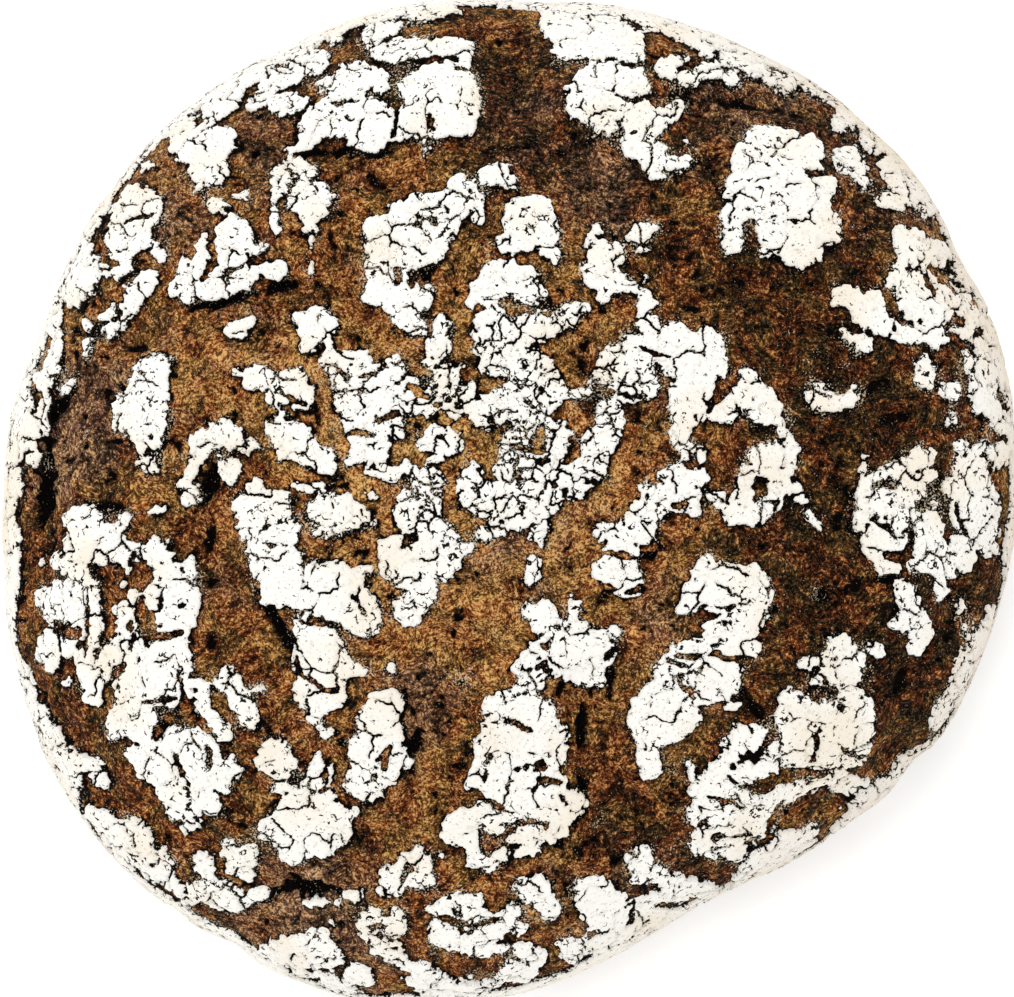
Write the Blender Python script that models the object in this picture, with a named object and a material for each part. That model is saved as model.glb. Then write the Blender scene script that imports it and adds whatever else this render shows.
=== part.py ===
"""Round hearth-baked rye loaf, one closed solid.

The loaf stands on its flat base, centred on the origin, with +Z up. Its crown
is a low dome, its widest line is a little above the base, and below that the
side tucks in to the foot. Where the rising dough split its floured skin, wide
shallow tears run between the plates of old skin.

Run with: blender --background --python part.py
"""

import math

import bmesh
import bpy
from mathutils import Matrix, Vector, noise

MM = 0.001

# Driving dimensions, in millimetres.
RADIUS = 124.0            # of the round the outline swells from
HEIGHT = 86.0             # of the crown above the base
WIDEST_HEIGHT = 27.0      # of the widest line above the base
FOOT_INSET = 15.0         # how far the foot lies inside the widest line
CROWN_SQUARENESS = 2.25   # superellipse exponent: 2 is round, more is flatter
FOOT_SQUARENESS = 2.1

# Where the outline departs from round: direction in degrees anticlockwise
# from +X, how far it stands out or in, and the half-width in degrees.
SWELLS = [
    (38, 5.2, 28),        # broad shoulder, right of the top
    (28, -1.8, 4),
    (88, -1.4, 7),        # dip at the end of the north split
    (99, 0.8, 4),
    (118, -0.9, 6),
    (124, 1.2, 12),
    (160, -2.2, 10),
    (222, 7.6, 27),       # the loaf leans out furthest here
    (239, -2.2, 1.8),     # dent between two folds of skin
    (246, 2.8, 9),
    (256, 1.3, 6),
    (298, -13.2, 20),     # flat side, where a neighbour or a wall held it
    (319, -2.6, 7),
    (327, -2.4, 2.2),     # step at the end of the flat side
    (2, 1.2, 14),
]

# Tears in the skin: width, depth, and the places they pass, seen from above.
TEARS = {
    "north split": (19, 3.0, [(-1, 112), (1, 104), (6, 80)]),
    "north-east field": (30, 3.2, [(14, 82), (42, 66), (64, 48), (77, 30)]),
    "east field": (24, 3.0, [(77, 30), (81, 4), (79, -26), (97, -44)]),
    "north-east arm": (15, 2.6, [(48, 66), (49, 96), (74, 99), (88, 78), (89, 62)]),
    "east arm": (16, 2.4, [(80, 18), (96, 30), (95, 20)]),
    "south-east rim": (13, 2.6, [(97, -44), (110, -28), (114, -14)]),
    "south-east arm": (10, 2.6, [(97, -44), (98, -62), (84, -74), (70, -79)]),
    "left shoulder": (11, 3.4, [(-104, 30), (-111, 20), (-115, 4), (-117, -24)]),
    "left field": (24, 1.8, [(-101, 20), (-99, 6), (-78, -4)]),
    "left gully": (17, 3.8, [(-75, 8), (-73, -16), (-66, -32), (-56, -44)]),
    "left gully's tail": (8, 2.4, [(-56, -44), (-45, -58), (-41, -72)]),
    "lower left rim": (8, 3.2, [(-118, -44), (-104, -64), (-94, -76), (-72, -90)]),
    "lower left field": (14, 2.4, [(-72, -90), (-56, -98), (-40, -97), (-22, -86)]),
    "upper left band": (12, 3.2, [(-98, 42), (-78, 44), (-58, 46), (-42, 56)]),
    "top left band": (11, 3.0, [(-66, 88), (-52, 85), (-22, 84), (2, 88)]),
    "north-west band": (9, 2.4, [(-62, 98), (-68, 82), (-82, 66), (-84, 50)]),
    "centre pan": (20, 1.8, [(4, -14), (-8, -26), (-16, -40)]),
    "south-west fork": (15, 3.0, [(-16, -40), (-18, -62), (-24, -80), (-34, -88)]),
    "south fork": (14, 3.2, [(20, -46), (24, -64), (28, -82)]),
    "south arm": (12, 2.6, [(28, -82), (38, -75), (47, -66), (66, -47)]),
    "middle right": (13, 2.2, [(8, -14), (20, -27), (38, -20), (46, -10), (68, -10)]),
    "lower middle": (10, 2.2, [(38, -20), (31, -40), (24, -52)]),
}
TEAR_WALL = (0.62, 1.12)  # half-widths over which a tear's wall rises

ROLL = 1.1                # height of the long, low unevenness of the crust
ROLL_LENGTH = 42.0        # across one of its humps
LUMP = 0.45               # the same for the short unevenness
LUMP_LENGTH = 15.0

RINGS = 36                # of triangles from the crown to the foot
PROFILE_STEPS = 240       # for measuring the length of the profile


def smoothstep(low, high, value):
    t = min(max((value - low) / (high - low), 0.0), 1.0)
    return t * t * (3.0 - 2.0 * t)


def outline_radius(angle):
    """Radius of the widest line in a direction given in degrees."""
    radius = RADIUS
    for direction, swell, half_width in SWELLS:
        away = (angle - direction + 180.0) % 360.0 - 180.0
        radius += swell * math.exp(-(away / half_width) ** 2)
    return radius


def profile_curve():
    """Points of the section from the crown to the foot: the share of the
    outline's radius, the inset below the widest line, and the height."""
    points = []
    for step in range(PROFILE_STEPS + 1):
        turn = 0.5 * math.pi * step / PROFILE_STEPS
        power = 2.0 / CROWN_SQUARENESS
        rise = (HEIGHT - WIDEST_HEIGHT) * max(math.cos(turn), 0.0) ** power
        points.append((math.sin(turn) ** power, 0.0, WIDEST_HEIGHT + rise))
    for step in range(1, PROFILE_STEPS + 1):
        turn = 0.5 * math.pi * step / PROFILE_STEPS
        power = 2.0 / FOOT_SQUARENESS
        inset = FOOT_INSET * (1.0 - max(math.cos(turn), 0.0) ** power)
        points.append((1.0, inset, WIDEST_HEIGHT * (1.0 - math.sin(turn) ** power)))
    return points


def even_profile(rings):
    """The same section, as points the same distance apart."""
    curve = profile_curve()
    lengths = [0.0]
    for (share_a, inset_a, z_a), (share_b, inset_b, z_b) in zip(curve, curve[1:]):
        across = (share_b - share_a) * RADIUS - (inset_b - inset_a)
        lengths.append(lengths[-1] + math.hypot(across, z_b - z_a))
    points = []
    index = 0
    for ring in range(rings + 1):
        wanted = lengths[-1] * ring / rings
        while index < len(lengths) - 2 and lengths[index + 1] < wanted:
            index += 1
        step = (wanted - lengths[index]) / (lengths[index + 1] - lengths[index])
        start, end = curve[index], curve[index + 1]
        points.append(tuple(a + (b - a) * step for a, b in zip(start, end)))
    return points


def crown_point(x, y):
    """The point of the smooth crown under a place seen from above."""
    radius = outline_radius(math.degrees(math.atan2(y, x)))
    share = min(math.hypot(x, y) / radius, 1.0)
    fall = max(1.0 - share ** CROWN_SQUARENESS, 0.0) ** (1.0 / CROWN_SQUARENESS)
    return Vector((x, y, WIDEST_HEIGHT + (HEIGHT - WIDEST_HEIGHT) * fall))


def distance_to_route(point, route):
    """Shortest distance from a point to a line through the route's points."""
    nearest = math.inf
    for start, end in zip(route, route[1:]):
        along = end - start
        share = min(max((point - start).dot(along) / along.length_squared, 0.0), 1.0)
        nearest = min(nearest, (point - start - along * share).length)
    return nearest


def tear_depth(point, tears):
    """How deep the tears are at a point, with walls that wander a little."""
    wander = 1.0 + 0.28 * noise.noise(point / 11.0)
    deepest = 0.0
    for width, depth, route in tears:
        reach = distance_to_route(point, route) / (0.5 * width * wander)
        deepest = max(deepest, depth * (1.0 - smoothstep(*TEAR_WALL, reach)))
    return deepest


def unevenness(point):
    """The long and short humps of a hand-shaped loaf."""
    roll = ROLL * noise.noise(point / ROLL_LENGTH + Vector((3.1, 0.7, 5.2)))
    lump = LUMP * noise.noise(point / LUMP_LENGTH + Vector((8.4, 2.6, 1.9)))
    return roll + lump


def skin_disc(rings):
    """A hexagon of even triangles, one unit from its middle to its corners,
    one of which lies on the X axis."""
    bm = bmesh.new()
    corner_on_x = Matrix.Rotation(math.radians(30.0), 4, "Z")
    bmesh.ops.create_circle(bm, cap_ends=True, cap_tris=True, segments=6, radius=1.0,
                            matrix=corner_on_x)
    bmesh.ops.subdivide_edges(bm, edges=bm.edges[:], cuts=rings - 1, use_grid_fill=True)
    return bm


def wrap_over_loaf(bm, rings):
    """Lay the hexagon's rings over the loaf, from the crown to the foot."""
    profile = even_profile(rings)
    for vert in bm.verts:
        x, y = vert.co.x, vert.co.y
        angle = math.degrees(math.atan2(y, x)) % 360.0
        corner = 60.0 * math.floor(angle / 60.0 + 1e-6)
        middle = math.radians(corner + 30.0)
        reach = (x * math.cos(middle) + y * math.sin(middle)) / math.cos(math.pi / 6)
        ring = round(reach * rings)
        if ring == 0:
            vert.co = (0.0, 0.0, HEIGHT)
            continue
        side = y * math.cos(middle) - x * math.sin(middle)
        turn = math.radians(corner + 30.0 + 60.0 * side / reach)
        share, inset, height = profile[ring]
        radius = outline_radius(math.degrees(turn)) * share - inset
        vert.co = (radius * math.cos(turn), radius * math.sin(turn), height)


def sculpt_crust(bm):
    """Push the skin in at the tears and give it its unevenness."""
    tears = [(width, depth, [crown_point(x, y) for x, y in route])
             for width, depth, route in TEARS.values()]
    bm.normal_update()
    moves = []
    for vert in bm.verts:
        upper = smoothstep(0.0, WIDEST_HEIGHT, vert.co.z)
        move = unevenness(vert.co) - tear_depth(vert.co, tears)
        moves.append(vert.normal * (move * upper))
    for vert, move in zip(bm.verts, moves):
        vert.co += move


def close_base(bm):
    """Press the foot flat on the ground and fill it with one face."""
    foot = [edge for edge in bm.edges if edge.is_boundary]
    for edge in foot:
        for vert in edge.verts:
            vert.co.z = 0.0
    base = bmesh.ops.contextual_create(bm, geom=foot)["faces"]
    bmesh.ops.triangulate(bm, faces=base)


def centre_on_origin(bm):
    """Put the middle of the loaf's box on the Z axis."""
    for axis in range(2):
        places = [vert.co[axis] for vert in bm.verts]
        middle = 0.5 * (min(places) + max(places))
        for vert in bm.verts:
            vert.co[axis] -= middle


def crust_material():
    material = bpy.data.materials.new("dark rye crust")
    material.use_nodes = True
    shader = material.node_tree.nodes["Principled BSDF"]
    shader.inputs["Base Color"].default_value = (0.16, 0.065, 0.018, 1.0)
    shader.inputs["Roughness"].default_value = 0.85
    shader.inputs["Metallic"].default_value = 0.0
    return material


def make_loaf():
    bm = skin_disc(RINGS)
    wrap_over_loaf(bm, RINGS)
    sculpt_crust(bm)
    close_base(bm)
    centre_on_origin(bm)
    bmesh.ops.scale(bm, vec=Vector((MM, MM, MM)), verts=bm.verts[:])
    bmesh.ops.recalc_face_normals(bm, faces=bm.faces[:])
    mesh = bpy.data.meshes.new("loaf")
    bm.to_mesh(mesh)
    bm.free()
    mesh.shade_smooth()
    mesh.set_sharp_from_angle(angle=math.radians(60.0))
    mesh.materials.append(crust_material())
    loaf = bpy.data.objects.new("loaf", mesh)
    bpy.context.scene.collection.objects.link(loaf)
    return loaf


def main():
    for item in list(bpy.data.objects):
        bpy.data.objects.remove(item, do_unlink=True)
    make_loaf()


main()
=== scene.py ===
"""The looks of a round rye loaf, baked on the hearth under a thick coat of flour.

As the dough rose, its floured skin split into plates of white flour, which the
dark crust shows between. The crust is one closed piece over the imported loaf.
The flour is a thin crust of its own, in ragged plates with cracks through
them. Lengths are in millimetres, places on the crown are measured from the
middle of the round, and MM turns them to the frame's metres.
"""

import math

import bmesh
import bpy
import numpy as np
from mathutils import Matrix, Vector


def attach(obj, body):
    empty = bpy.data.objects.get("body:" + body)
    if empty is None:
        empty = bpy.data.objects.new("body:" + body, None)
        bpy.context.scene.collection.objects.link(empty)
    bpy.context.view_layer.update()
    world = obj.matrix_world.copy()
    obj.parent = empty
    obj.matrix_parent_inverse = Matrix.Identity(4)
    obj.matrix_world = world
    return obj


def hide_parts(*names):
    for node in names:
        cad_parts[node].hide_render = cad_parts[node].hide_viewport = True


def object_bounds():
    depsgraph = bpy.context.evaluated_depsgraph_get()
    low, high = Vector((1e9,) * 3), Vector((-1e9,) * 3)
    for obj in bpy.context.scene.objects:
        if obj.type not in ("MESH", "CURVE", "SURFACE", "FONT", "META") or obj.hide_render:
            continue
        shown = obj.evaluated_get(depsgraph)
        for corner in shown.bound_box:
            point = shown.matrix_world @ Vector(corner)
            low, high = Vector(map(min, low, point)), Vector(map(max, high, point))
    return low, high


MM = 0.001

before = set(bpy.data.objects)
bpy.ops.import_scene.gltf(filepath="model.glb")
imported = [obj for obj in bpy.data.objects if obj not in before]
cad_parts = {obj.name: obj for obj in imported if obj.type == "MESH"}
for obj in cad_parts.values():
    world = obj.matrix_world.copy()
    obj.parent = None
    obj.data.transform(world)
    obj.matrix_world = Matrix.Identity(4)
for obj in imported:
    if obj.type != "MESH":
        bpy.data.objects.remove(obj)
cad_low, cad_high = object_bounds()

# The loaf.
HEIGHT = cad_high[2] / MM
ROUND_MIDDLE = np.array((-0.9, 0.3))   # the middle that places are measured from
WIDEST_HEIGHT = 27.0                   # of the widest line above the base
BASE_DEPTH = 0.05                      # faces this low are the base
SKIN_CUTS = 4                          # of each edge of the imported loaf's triangles
SKIN_SMOOTHINGS = 24                   # which round them off

# Where the plates of flour lie.
COVER_BIAS = 0.25         # how much wider they are than their lobes
COVER_LIMITS = (-3.0, 1.6)   # further out or in than this is all the same
MERGE = 0.6               # how far lobes reach out to join with the next
LOBE_MARGIN = 4.0         # further from a lobe than this, it counts for nothing
EDGE_REACH = 0.9          # how far their edges stray
FINE_EDGE_REACH = 0.45
SPLIT_RIM = 0.35          # the most cover at the rim of a split
SPLIT_SLOPE = 1.4         # how steeply the cover falls into it
HOLE_DEPTH = 2.6          # of the holes in crumbly flour
RIM_HEIGHT = 36.0         # below it, the side's flour is a scatter of its own
RIM_FADE = 9.0            # how far above it that scatter dies away
SIDE_SHARE = 0.42         # more than 0 covers more than half of the side
FOOT_THINNING = 0.9       # how much of that is lost at the foot
SIDES = "side_north_east", "side_north_west", "side_south_west", "side_south_east"

# How the plates break up.
CLUMP = 7.0               # between cracks, in a sound plate
CENTRE_CLUMP = 3.6        # the same in the crown, where the flour crazed
CLUMP_COLUMNS = 256
CRACK_SHARE = 0.30        # how open the cracks are, all in all
CRAZED_SHARE = 0.54       # the same in the crazed part
CRACK_REACH = 1.2         # how far they wander
FINE_CRACK_REACH = 0.84
CRACK_WIDTH = 0.5         # of a crack's sloping side
LEAST_CRACK = 0.12        # cracks less open than this are left closed
CRACK_PRIMES = (7919, 1009)   # which turn two clumps' numbers into a chance
CRAZED_MIDDLE = (4, 18)   # the middle of the crazed part of the crown
CRAZED_REACH = (14, 50)   # distances over which the crazing dies away

# The plates' thickness.
PLATE_HEIGHT = 0.8        # of a plate's top above the crust
EDGE_WIDTH = 0.95         # of its rounded edge
EDGE_SINK = 0.6           # how far its edge dips into the crust
PLATE_DEPTH = 0.9         # how far its underside lies in the crust
TO_LIGHT = np.array((-1.0, 1.0, 0.0))   # the side that the window stands on
LIT_EDGE = 1.2            # of a plate's edge that the light falls on
FLOUR_MARGIN = 1.3        # of the skin that is kept round the plates

# The crust's relief.
PORE_COLUMNS = 512        # of the net that pores are strewn over
PORES = (                 # spacing, share of the places, radii and seed
    (5.0, 0.24, (0.5, 1.3), 111), (2.4, 0.15, (0.3, 0.7), 112),
)
DIP_DEPTH = 1.1           # of wide, soft dips
GROOVE_DEPTH = 0.8        # of the grooves between folds
RIM_DEPTH = 0.5           # of the gully round each plate
RIM_SHADE = 1.3           # how far a plate's shade reaches over the gully
GRAIN_HEIGHT = 0.30
FINE_GRAIN_HEIGHT = 0.16

# Random patterns: the size of their humps, their seed, or two for a step
# sideways, and how many sizes of humps lie on each other, each half the last.
EDGE_STRAY = (4.2, (31, 32), 1)       # of the plates
FINE_EDGE_STRAY = (1.9, (37, 38), 1)
CRUMBLE = (11.0, 33, 1)               # which plates are crumbly
RAGGED = (1.9, 34, 1)                 # their edges
FINE_RAGGED = (1.0, 35, 1)
HOLES = (2.6, 36, 2)                  # in the crumbly ones
SIDE_SCATTER = (11.0, 41, 3)          # of flour on the side
CRAZING = (9.0, 51, 1)
CRACK_STRAY = (5.0, (61, 62), 1)
FINE_CRACK_STRAY = (1.8, (63, 66), 2)
ALONG_CRACK = (2.8, 81, 1)            # how it opens and closes
PLATE_SWELL = (9.0, 91, 1)            # of their tops
PLATE_LUMPS = (3.2, 92, 3)
PLATE_GRAIN = (1.1, 95, 1)
HOLLOW_STRAY = (6.0, (101, 105), 3)
PORE_STRAY = (2.2, (107, 108), 1)
DIPS = (6.0, 115, 3)
FOLDS = (9.0, 121, 3)                 # grooves run where it crosses nought
FOLDED = (22.0, 125, 1)               # which parts have them
GRAIN = (3.0, 131, 3)
FINE_GRAIN = (1.6, 135, 2)

# The set.
FLOOR_RADIUS = 20.0       # metres
FLOOR_GAP = 0.2           # below the loaf
TABLE_STRENGTH = 0.35
ROOM_STRENGTH = 0.88
WINDOW_STRENGTH = 0.8
WINDOW_SPREAD = 40.0      # degrees, for soft edges to the shadows
WINDOW_DIRECTION = (-0.32, 0.36, 1.0)   # from the loaf
CAMERA_HEIGHT = 12.0      # metres
FILM_WIDTH = 36.0
VIEW_WIDTH = 251.5        # at the height of the widest line
VIEW_MIDDLE = np.array((0.3, 0.2))     # from the middle of the round

# Plates of flour, as lobes: place, half-length, half-width, and heading in degrees.
FLOUR = {
    "top_left": [
        (-18, 71, 3, 1.6), (-95, 57.5, 2, 1.8), (-57, 72, 0.8, 3), (-98, 44, 3, 0.8, 40),
        (-21, 90, 4.5, 1.5), (-20, 87, 0.8, 2.5), (-50, 82, 4.5, 2, -15), (-114, 22, 1.5, 6),
        (-119.5, 19, 2.5, 9), (-121.5, 11, 2, 5), (-111.5, 45, 1.8, 6), (-75, 57.5, 2, 2.2),
        (-71, 55.3, 1.6, 1.6), (-103.5, 61.5, 2, 3), (-86.5, 71.5, 1.4, 3.5), (-53, 104, 3.5, 1, 25),
        (-42.5, 42.5, 1.8, 2.2), (-66.5, 40.5, 2.4, 1.2),
        (-17.6, 101.5, 9.5, 6), (-19.2, 93.7, 8.5, 5), (-10.6, 97.6, 4.5, 8), (-27, 91.4, 3, 3),
        (-9.8, 107.8, 1.2, 2.4),
        (-37.2, 103.9, 5.5, 4.5), (-30.9, 103.1, 2, 3.5), (-40.3, 95.3, 6, 6), (-33.3, 93.7, 6, 5),
        (-34, 88.2, 5, 2.5), (-43.4, 102.3, 3, 2.5), (-45.5, 93.4, 5, 4.5), (-49.4, 88.7, 2.5, 2, 40),
        (-22.3, 110.9, 11, 3.2, 5), (-11.4, 112.1, 3, 2),
        (-19.2, 120.7, 9, 2, 3), (-30.1, 115.6, 5, 2, 20), (-33.3, 113.3, 2, 1.5),
        (-41.9, 114, 2, 1.2),
        (-69.5, 99, 7, 4, 40), (-62, 105, 5, 2.5, 35), (-57, 103, 4.5, 2.5, 30), (-50, 107, 5, 2, 50),
        (-52, 110, 5, 1.6, 30), (-45.5, 108.3, 3.5, 2, 60),
        (-59, 98, 5, 1.8, 15), (-53, 97.5, 4.5, 2, 20),
        (-75, 87.5, 8, 5.2, 5), (-73.5, 81.5, 5, 4), (-75.8, 78, 1.6, 1.8), (-69, 90.5, 2.5, 1.5),
        (-80, 93, 5, 1.8, 45),
        (-92.3, 68, 9, 6, 65), (-89.5, 73, 4, 4), (-93, 76.5, 2, 1, 45), (-96.4, 57.4, 4, 2.5),
        (-85.8, 61.3, 1.6, 2.8), (-102, 68, 5, 1.2, 60),
        (-105, 54, 7, 4, 65), (-103.8, 43.7, 1, 1.3), (-103, 37.8, 1, 2),
        (-92, 50, 8.5, 3, 52), (-97, 44.5, 3, 2.5), (-98.5, 41.5, 1.5, 1),
        (-67.4, 63.7, 6, 6.5), (-75.2, 62.1, 4.5, 2.8, 60), (-60.4, 62.1, 1.8, 1.3),
        (-71.3, 72.7, 2.8, 1.8, -20), (-65, 75, 2.2, 0.9),
        (-78.4, 53.5, 4.5, 4.5), (-72.9, 51.9, 4, 3.5), (-79.9, 57.4, 1.5, 2),
        (-68.2, 51.1, 3, 1.2, 15),
        (-64.3, 54.3, 4.2, 2.8, 25), (-57.2, 56.6, 3.2, 2.5),
        (-65, 42.9, 4.2, 2.2, 38),
        (-47, 42.9, 4.5, 5), (-51, 44.9, 1.5, 2), (-49.4, 37.8, 2.5, 2), (-44, 37.8, 1.5, 3),
        (-55.7, 79.3, 3, 3.3), (-48.6, 73.8, 5.5, 5.5), (-44, 75.4, 2.5, 1.2), (-54, 84, 1.2, 2.5),
        (-51.4, 88, 2.8, 1.5, 40), (-57.2, 67.6, 1, 2), (-48.6, 66.8, 2, 1.5),
        (-47.8, 57.4, 1.2, 1.8), (-48.2, 62.9, 0.9, 2),
        (-88.9, 82.4, 1.6, 1.1),
    ],
    "top_right": [
        (26.5, 101.5, 2.2, 3), (102, 58.5, 2.5, 1.2), (57, 66, 1.5, 3), (58, 74, 3, 1, -20),
        (24, 109.6, 9, 1.2), (18, 94.6, 3, 1.5, -40), (28, 105, 2.2, 1.3), (31, 86.3, 2.5, 2.5),
        (64, 71, 3.6, 3.4), (70, 60.4, 4, 2, -30), (56, 63, 3, 2.3), (80, 63.8, 1.8, 1.8),
        (97, 54.2, 3, 2.3), (105, 39.6, 5, 1.4), (97, 40.5, 2, 1.6), (47, 107, 4, 1.2, -20),
        (42.5, 115, 5, 1.3, -20), (85, 40.5, 3.5, 1, -25), (67, 102.5, 3.5, 1.2, -30),
        (15.3, 117.2, 6.5, 4.5), (23.1, 114.8, 9, 5, -8), (16, 110.9, 4.5, 2.5),
        (30.1, 111.7, 4.5, 3.5, -30), (33.2, 114, 1.5, 1.5), (9.8, 121, 1.5, 1.2),
        (22.3, 120.9, 9, 1.2, -3), (36.4, 118, 7, 1.5, -18),
        (20.7, 99.2, 6, 6), (23.1, 105.4, 6, 2.2, 10), (31.7, 103.1, 4, 3, -50), (27.8, 96.8, 4, 4),
        (23.9, 92.1, 3.5, 2), (34, 92.9, 5.5, 5), (41.1, 96, 3, 2.2, 30), (36.4, 84.3, 4.5, 3.5),
        (31.7, 86.7, 3, 2.5), (41.9, 82.7, 3.5, 1.8, 10), (37.9, 79.6, 2.5, 1.2),
        (44.2, 84.3, 1.8, 1.1),
        (40.5, 106.7, 3.5, 2.8), (45.2, 104, 2.5, 2.2), (50.6, 105.5, 4, 2.2, -5),
        (56.1, 104, 2.5, 1.2, -20),
        (47.5, 112.2, 4.5, 2, -35), (57.7, 108.3, 6, 2.5, -30), (53, 111.4, 2.5, 1.2, -20),
        (67.9, 103.2, 4.5, 2, -25), (71.8, 104.4, 3, 1.5, -30), (62.4, 106.3, 3, 2),
        (83.5, 94.2, 2.8, 3), (89, 91, 2.5, 1.5, -30),
        (84.3, 84.8, 3.5, 3), (85.9, 81.7, 3.5, 2.5), (88.2, 79.3, 2, 1.5),
        (99.2, 79.3, 8, 4.5, -50), (92.9, 87.1, 2.5, 2, -40), (95.3, 73.8, 3.5, 2.5, -20),
        (105.4, 71.5, 2.5, 2),
        (66.3, 87.1, 9, 5), (60.8, 84, 5.5, 4.5), (70.2, 79.3, 8.5, 7), (60, 77, 5.5, 4.5),
        (72.6, 69.9, 8, 7), (66.3, 66, 5, 4.5), (80.4, 67.6, 2, 3.5), (74.1, 61.3, 4, 4),
        (56.1, 69.9, 3.5, 3.2), (55.3, 64.5, 2.2, 3.5), (76, 87.5, 3.5, 2.2, -55), (78.8, 76.2, 3, 4),
        (64, 61.3, 1.2, 1),
        (99.9, 62.9, 3.5, 3.5), (105.4, 62.1, 3.5, 2.5, -20), (107.8, 59.7, 1.8, 2.8),
        (97.6, 66, 1.8, 1.5), (97.6, 58.2, 1.5, 2),
        (102.3, 53.5, 4, 3), (105.4, 46.4, 5, 5.5), (99.9, 49.6, 3.5, 3.5), (107.8, 51.1, 2, 2.5),
        (102.3, 41, 6, 2.2), (112.1, 48.8, 2.2, 3.2), (113.2, 54.3, 4, 1.3, -60),
        (85.1, 51.1, 4, 2.5, -10), (89, 47.2, 4.5, 5), (92.9, 44.9, 3.5, 4.5), (82, 48.8, 2, 1.5),
        (93.7, 50.4, 2, 2), (96.8, 44.9, 1.2, 2), (89, 37.8, 2, 2.2),
        (119.5, 37, 3.5, 4.5), (115.6, 44.9, 3, 2, -50), (114, 41.8, 2.5, 2),
    ],
    "crown": [
        (19.5, 13, 1.5, 4, -20), (23.5, 9.8, 2, 1.5), (29, 27.2, 4, 1.2, -10), (10.8, 33, 1.5, 2.5),
        (-19.3, 36, 1.2, 4), (-5.5, -3.5, 3, 1.2), (11.5, -1.5, 1.8, 2.5), (-43.5, 34, 2.5, 2),
        (-50.5, 17, 2.5, 1.5, -50), (-54.5, 11, 2.5, 1.8),
        (-22, 71.5, 7, 1.5, 12), (-25, 68.4, 4, 1.2, 8), (-1.5, 78.2, 4, 1.6), (-6, 48.8, 4, 1.5),
        (-5, 37.5, 3.2, 2.6), (36, 42.3, 2.6, 3.6), (36.5, 37, 2, 2.5), (28, 60.5, 1.5, 3.6),
        (22.5, 64.3, 3, 1.1), (33, 29, 4, 2, -10), (41, 30.5, 1.5, 1.5), (42.5, 13.5, 1.4, 4, 30),
        (9, 47.5, 3, 1, 20), (24, 22, 2, 3, -40), (10.8, 16.5, 1.2, 5, 8), (24, -8, 1.6, 2.6, -40),
        (33, -2.4, 2.6, 2), (-27, 25.5, 2.5, 2.5), (-26.5, 17, 2, 2.4), (-33, 22.5, 3, 1.2),
        (-4, 20, 3, 1.8), (35, 2.3, 2.6, 2), (52, 1, 3, 1.6), (59, 6, 1.6, 3.6),
        (-2.7, 80.4, 4.5, 2.8, 15), (-11.4, 78.1, 3.5, 2), (1.2, 78, 1.5, 1.2),
        (-11.4, 73.4, 3.2, 4), (-14.5, 74.9, 2, 2), (-13.7, 68.7, 3, 2), (-7, 73.4, 2, 3),
        (-6.7, 69, 1.8, 1.5),
        (-20.7, 73.4, 6, 2.5, 12), (-26.2, 71, 3, 2), (-30.9, 67.1, 4, 3.5), (-26.2, 62.4, 8.5, 5.5),
        (-18.4, 63.2, 3.5, 4.5), (-29.4, 56.1, 6, 6), (-31.7, 50.7, 3, 3), (-25.4, 48.3, 4.5, 4.5),
        (-20, 49.9, 3, 3.5), (-23.1, 43.6, 3.5, 2.5, -40), (-15.3, 65.5, 2, 1.5),
        (5.9, 70.2, 7, 5), (3.5, 64.7, 5, 4), (10.6, 64.7, 3, 4.5), (12.5, 60, 1.5, 2),
        (-1.2, 63.2, 1.8, 2),
        (0.4, 54.6, 8, 5), (-5.9, 51.4, 3, 3), (5.9, 50.7, 4, 3.5), (-8.2, 49.9, 1.2, 2),
        (-2.4, 43, 5, 4.2), (5.5, 41.6, 4.5, 3.5),
        (14.5, 45.2, 4.5, 2.5, 30), (10.6, 42, 2.5, 2.5), (19.2, 47.1, 2, 1.3),
        (-16, 39.5, 6.5, 2.5, 82),
        (23.9, 59.3, 4, 4.5), (25.4, 53.8, 4.5, 3.5), (20.7, 56.1, 2, 3), (23.9, 49.9, 2, 1.5),
        (32.1, 52.2, 2.2, 1.8, -40),
        (34, 66.3, 4.5, 1.7, 15), (33.2, 61.6, 1.5, 0.8), (23.1, 67.1, 1.2, 1),
        (34.8, 46, 5.5, 2.8, 90), (31.3, 38.9, 2.5, 2.5),
        (-5.9, 37.2, 2, 2.2), (-0.4, 37.2, 2.5, 2), (-2.7, 33.3, 3.5, 2.8), (2, 31.7, 3, 2.5),
        (8.2, 34.8, 3, 3), (5.1, 35.6, 2.5, 2), (6.7, 29.4, 3.5, 1.8), (11.4, 28.6, 2.5, 2.5),
        (17.6, 26.2, 3, 1.5), (12.9, 25.4, 2.5, 1.2),
        (-6.4, 23.1, 3, 3.5), (-1.2, 23.9, 4, 3.5), (3.5, 26.2, 4.5, 2.5), (9.8, 23.1, 3, 2.5),
        (-2.7, 20, 3, 2), (3.5, 20.7, 3.5, 2.5), (-6, 20, 3, 1.8), (7.4, 20, 2, 1.5),
        (27.8, 34, 4.5, 3.5), (24.5, 32.5, 2.5, 3), (30.1, 29.4, 5.5, 3), (34, 32.5, 3, 4),
        (30.1, 36.4, 3.5, 2, 20), (35.6, 27, 2, 2.5), (28.6, 23.9, 4, 1.2, -5), (21.5, 28.6, 1.2, 1),
        (23.9, 15.3, 6.5, 3.8, 55), (27, 20.7, 3, 2), (21.5, 12.1, 2.5, 2),
        (13.3, 13.7, 6, 2.3, 80),
        (16.8, 5.9, 5, 3), (22.3, 7.4, 2.5, 3), (12.9, 5.9, 1.5, 2), (17.6, 1.2, 2.8, 2, 10),
        (20, 2.7, 1.8, 1.5),
        (2.7, 14.5, 3.5, 3.5), (5.1, 10.6, 4, 3), (5.9, 17.6, 1.5, 1.5), (0, 12.1, 1.8, 2.5),
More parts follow.
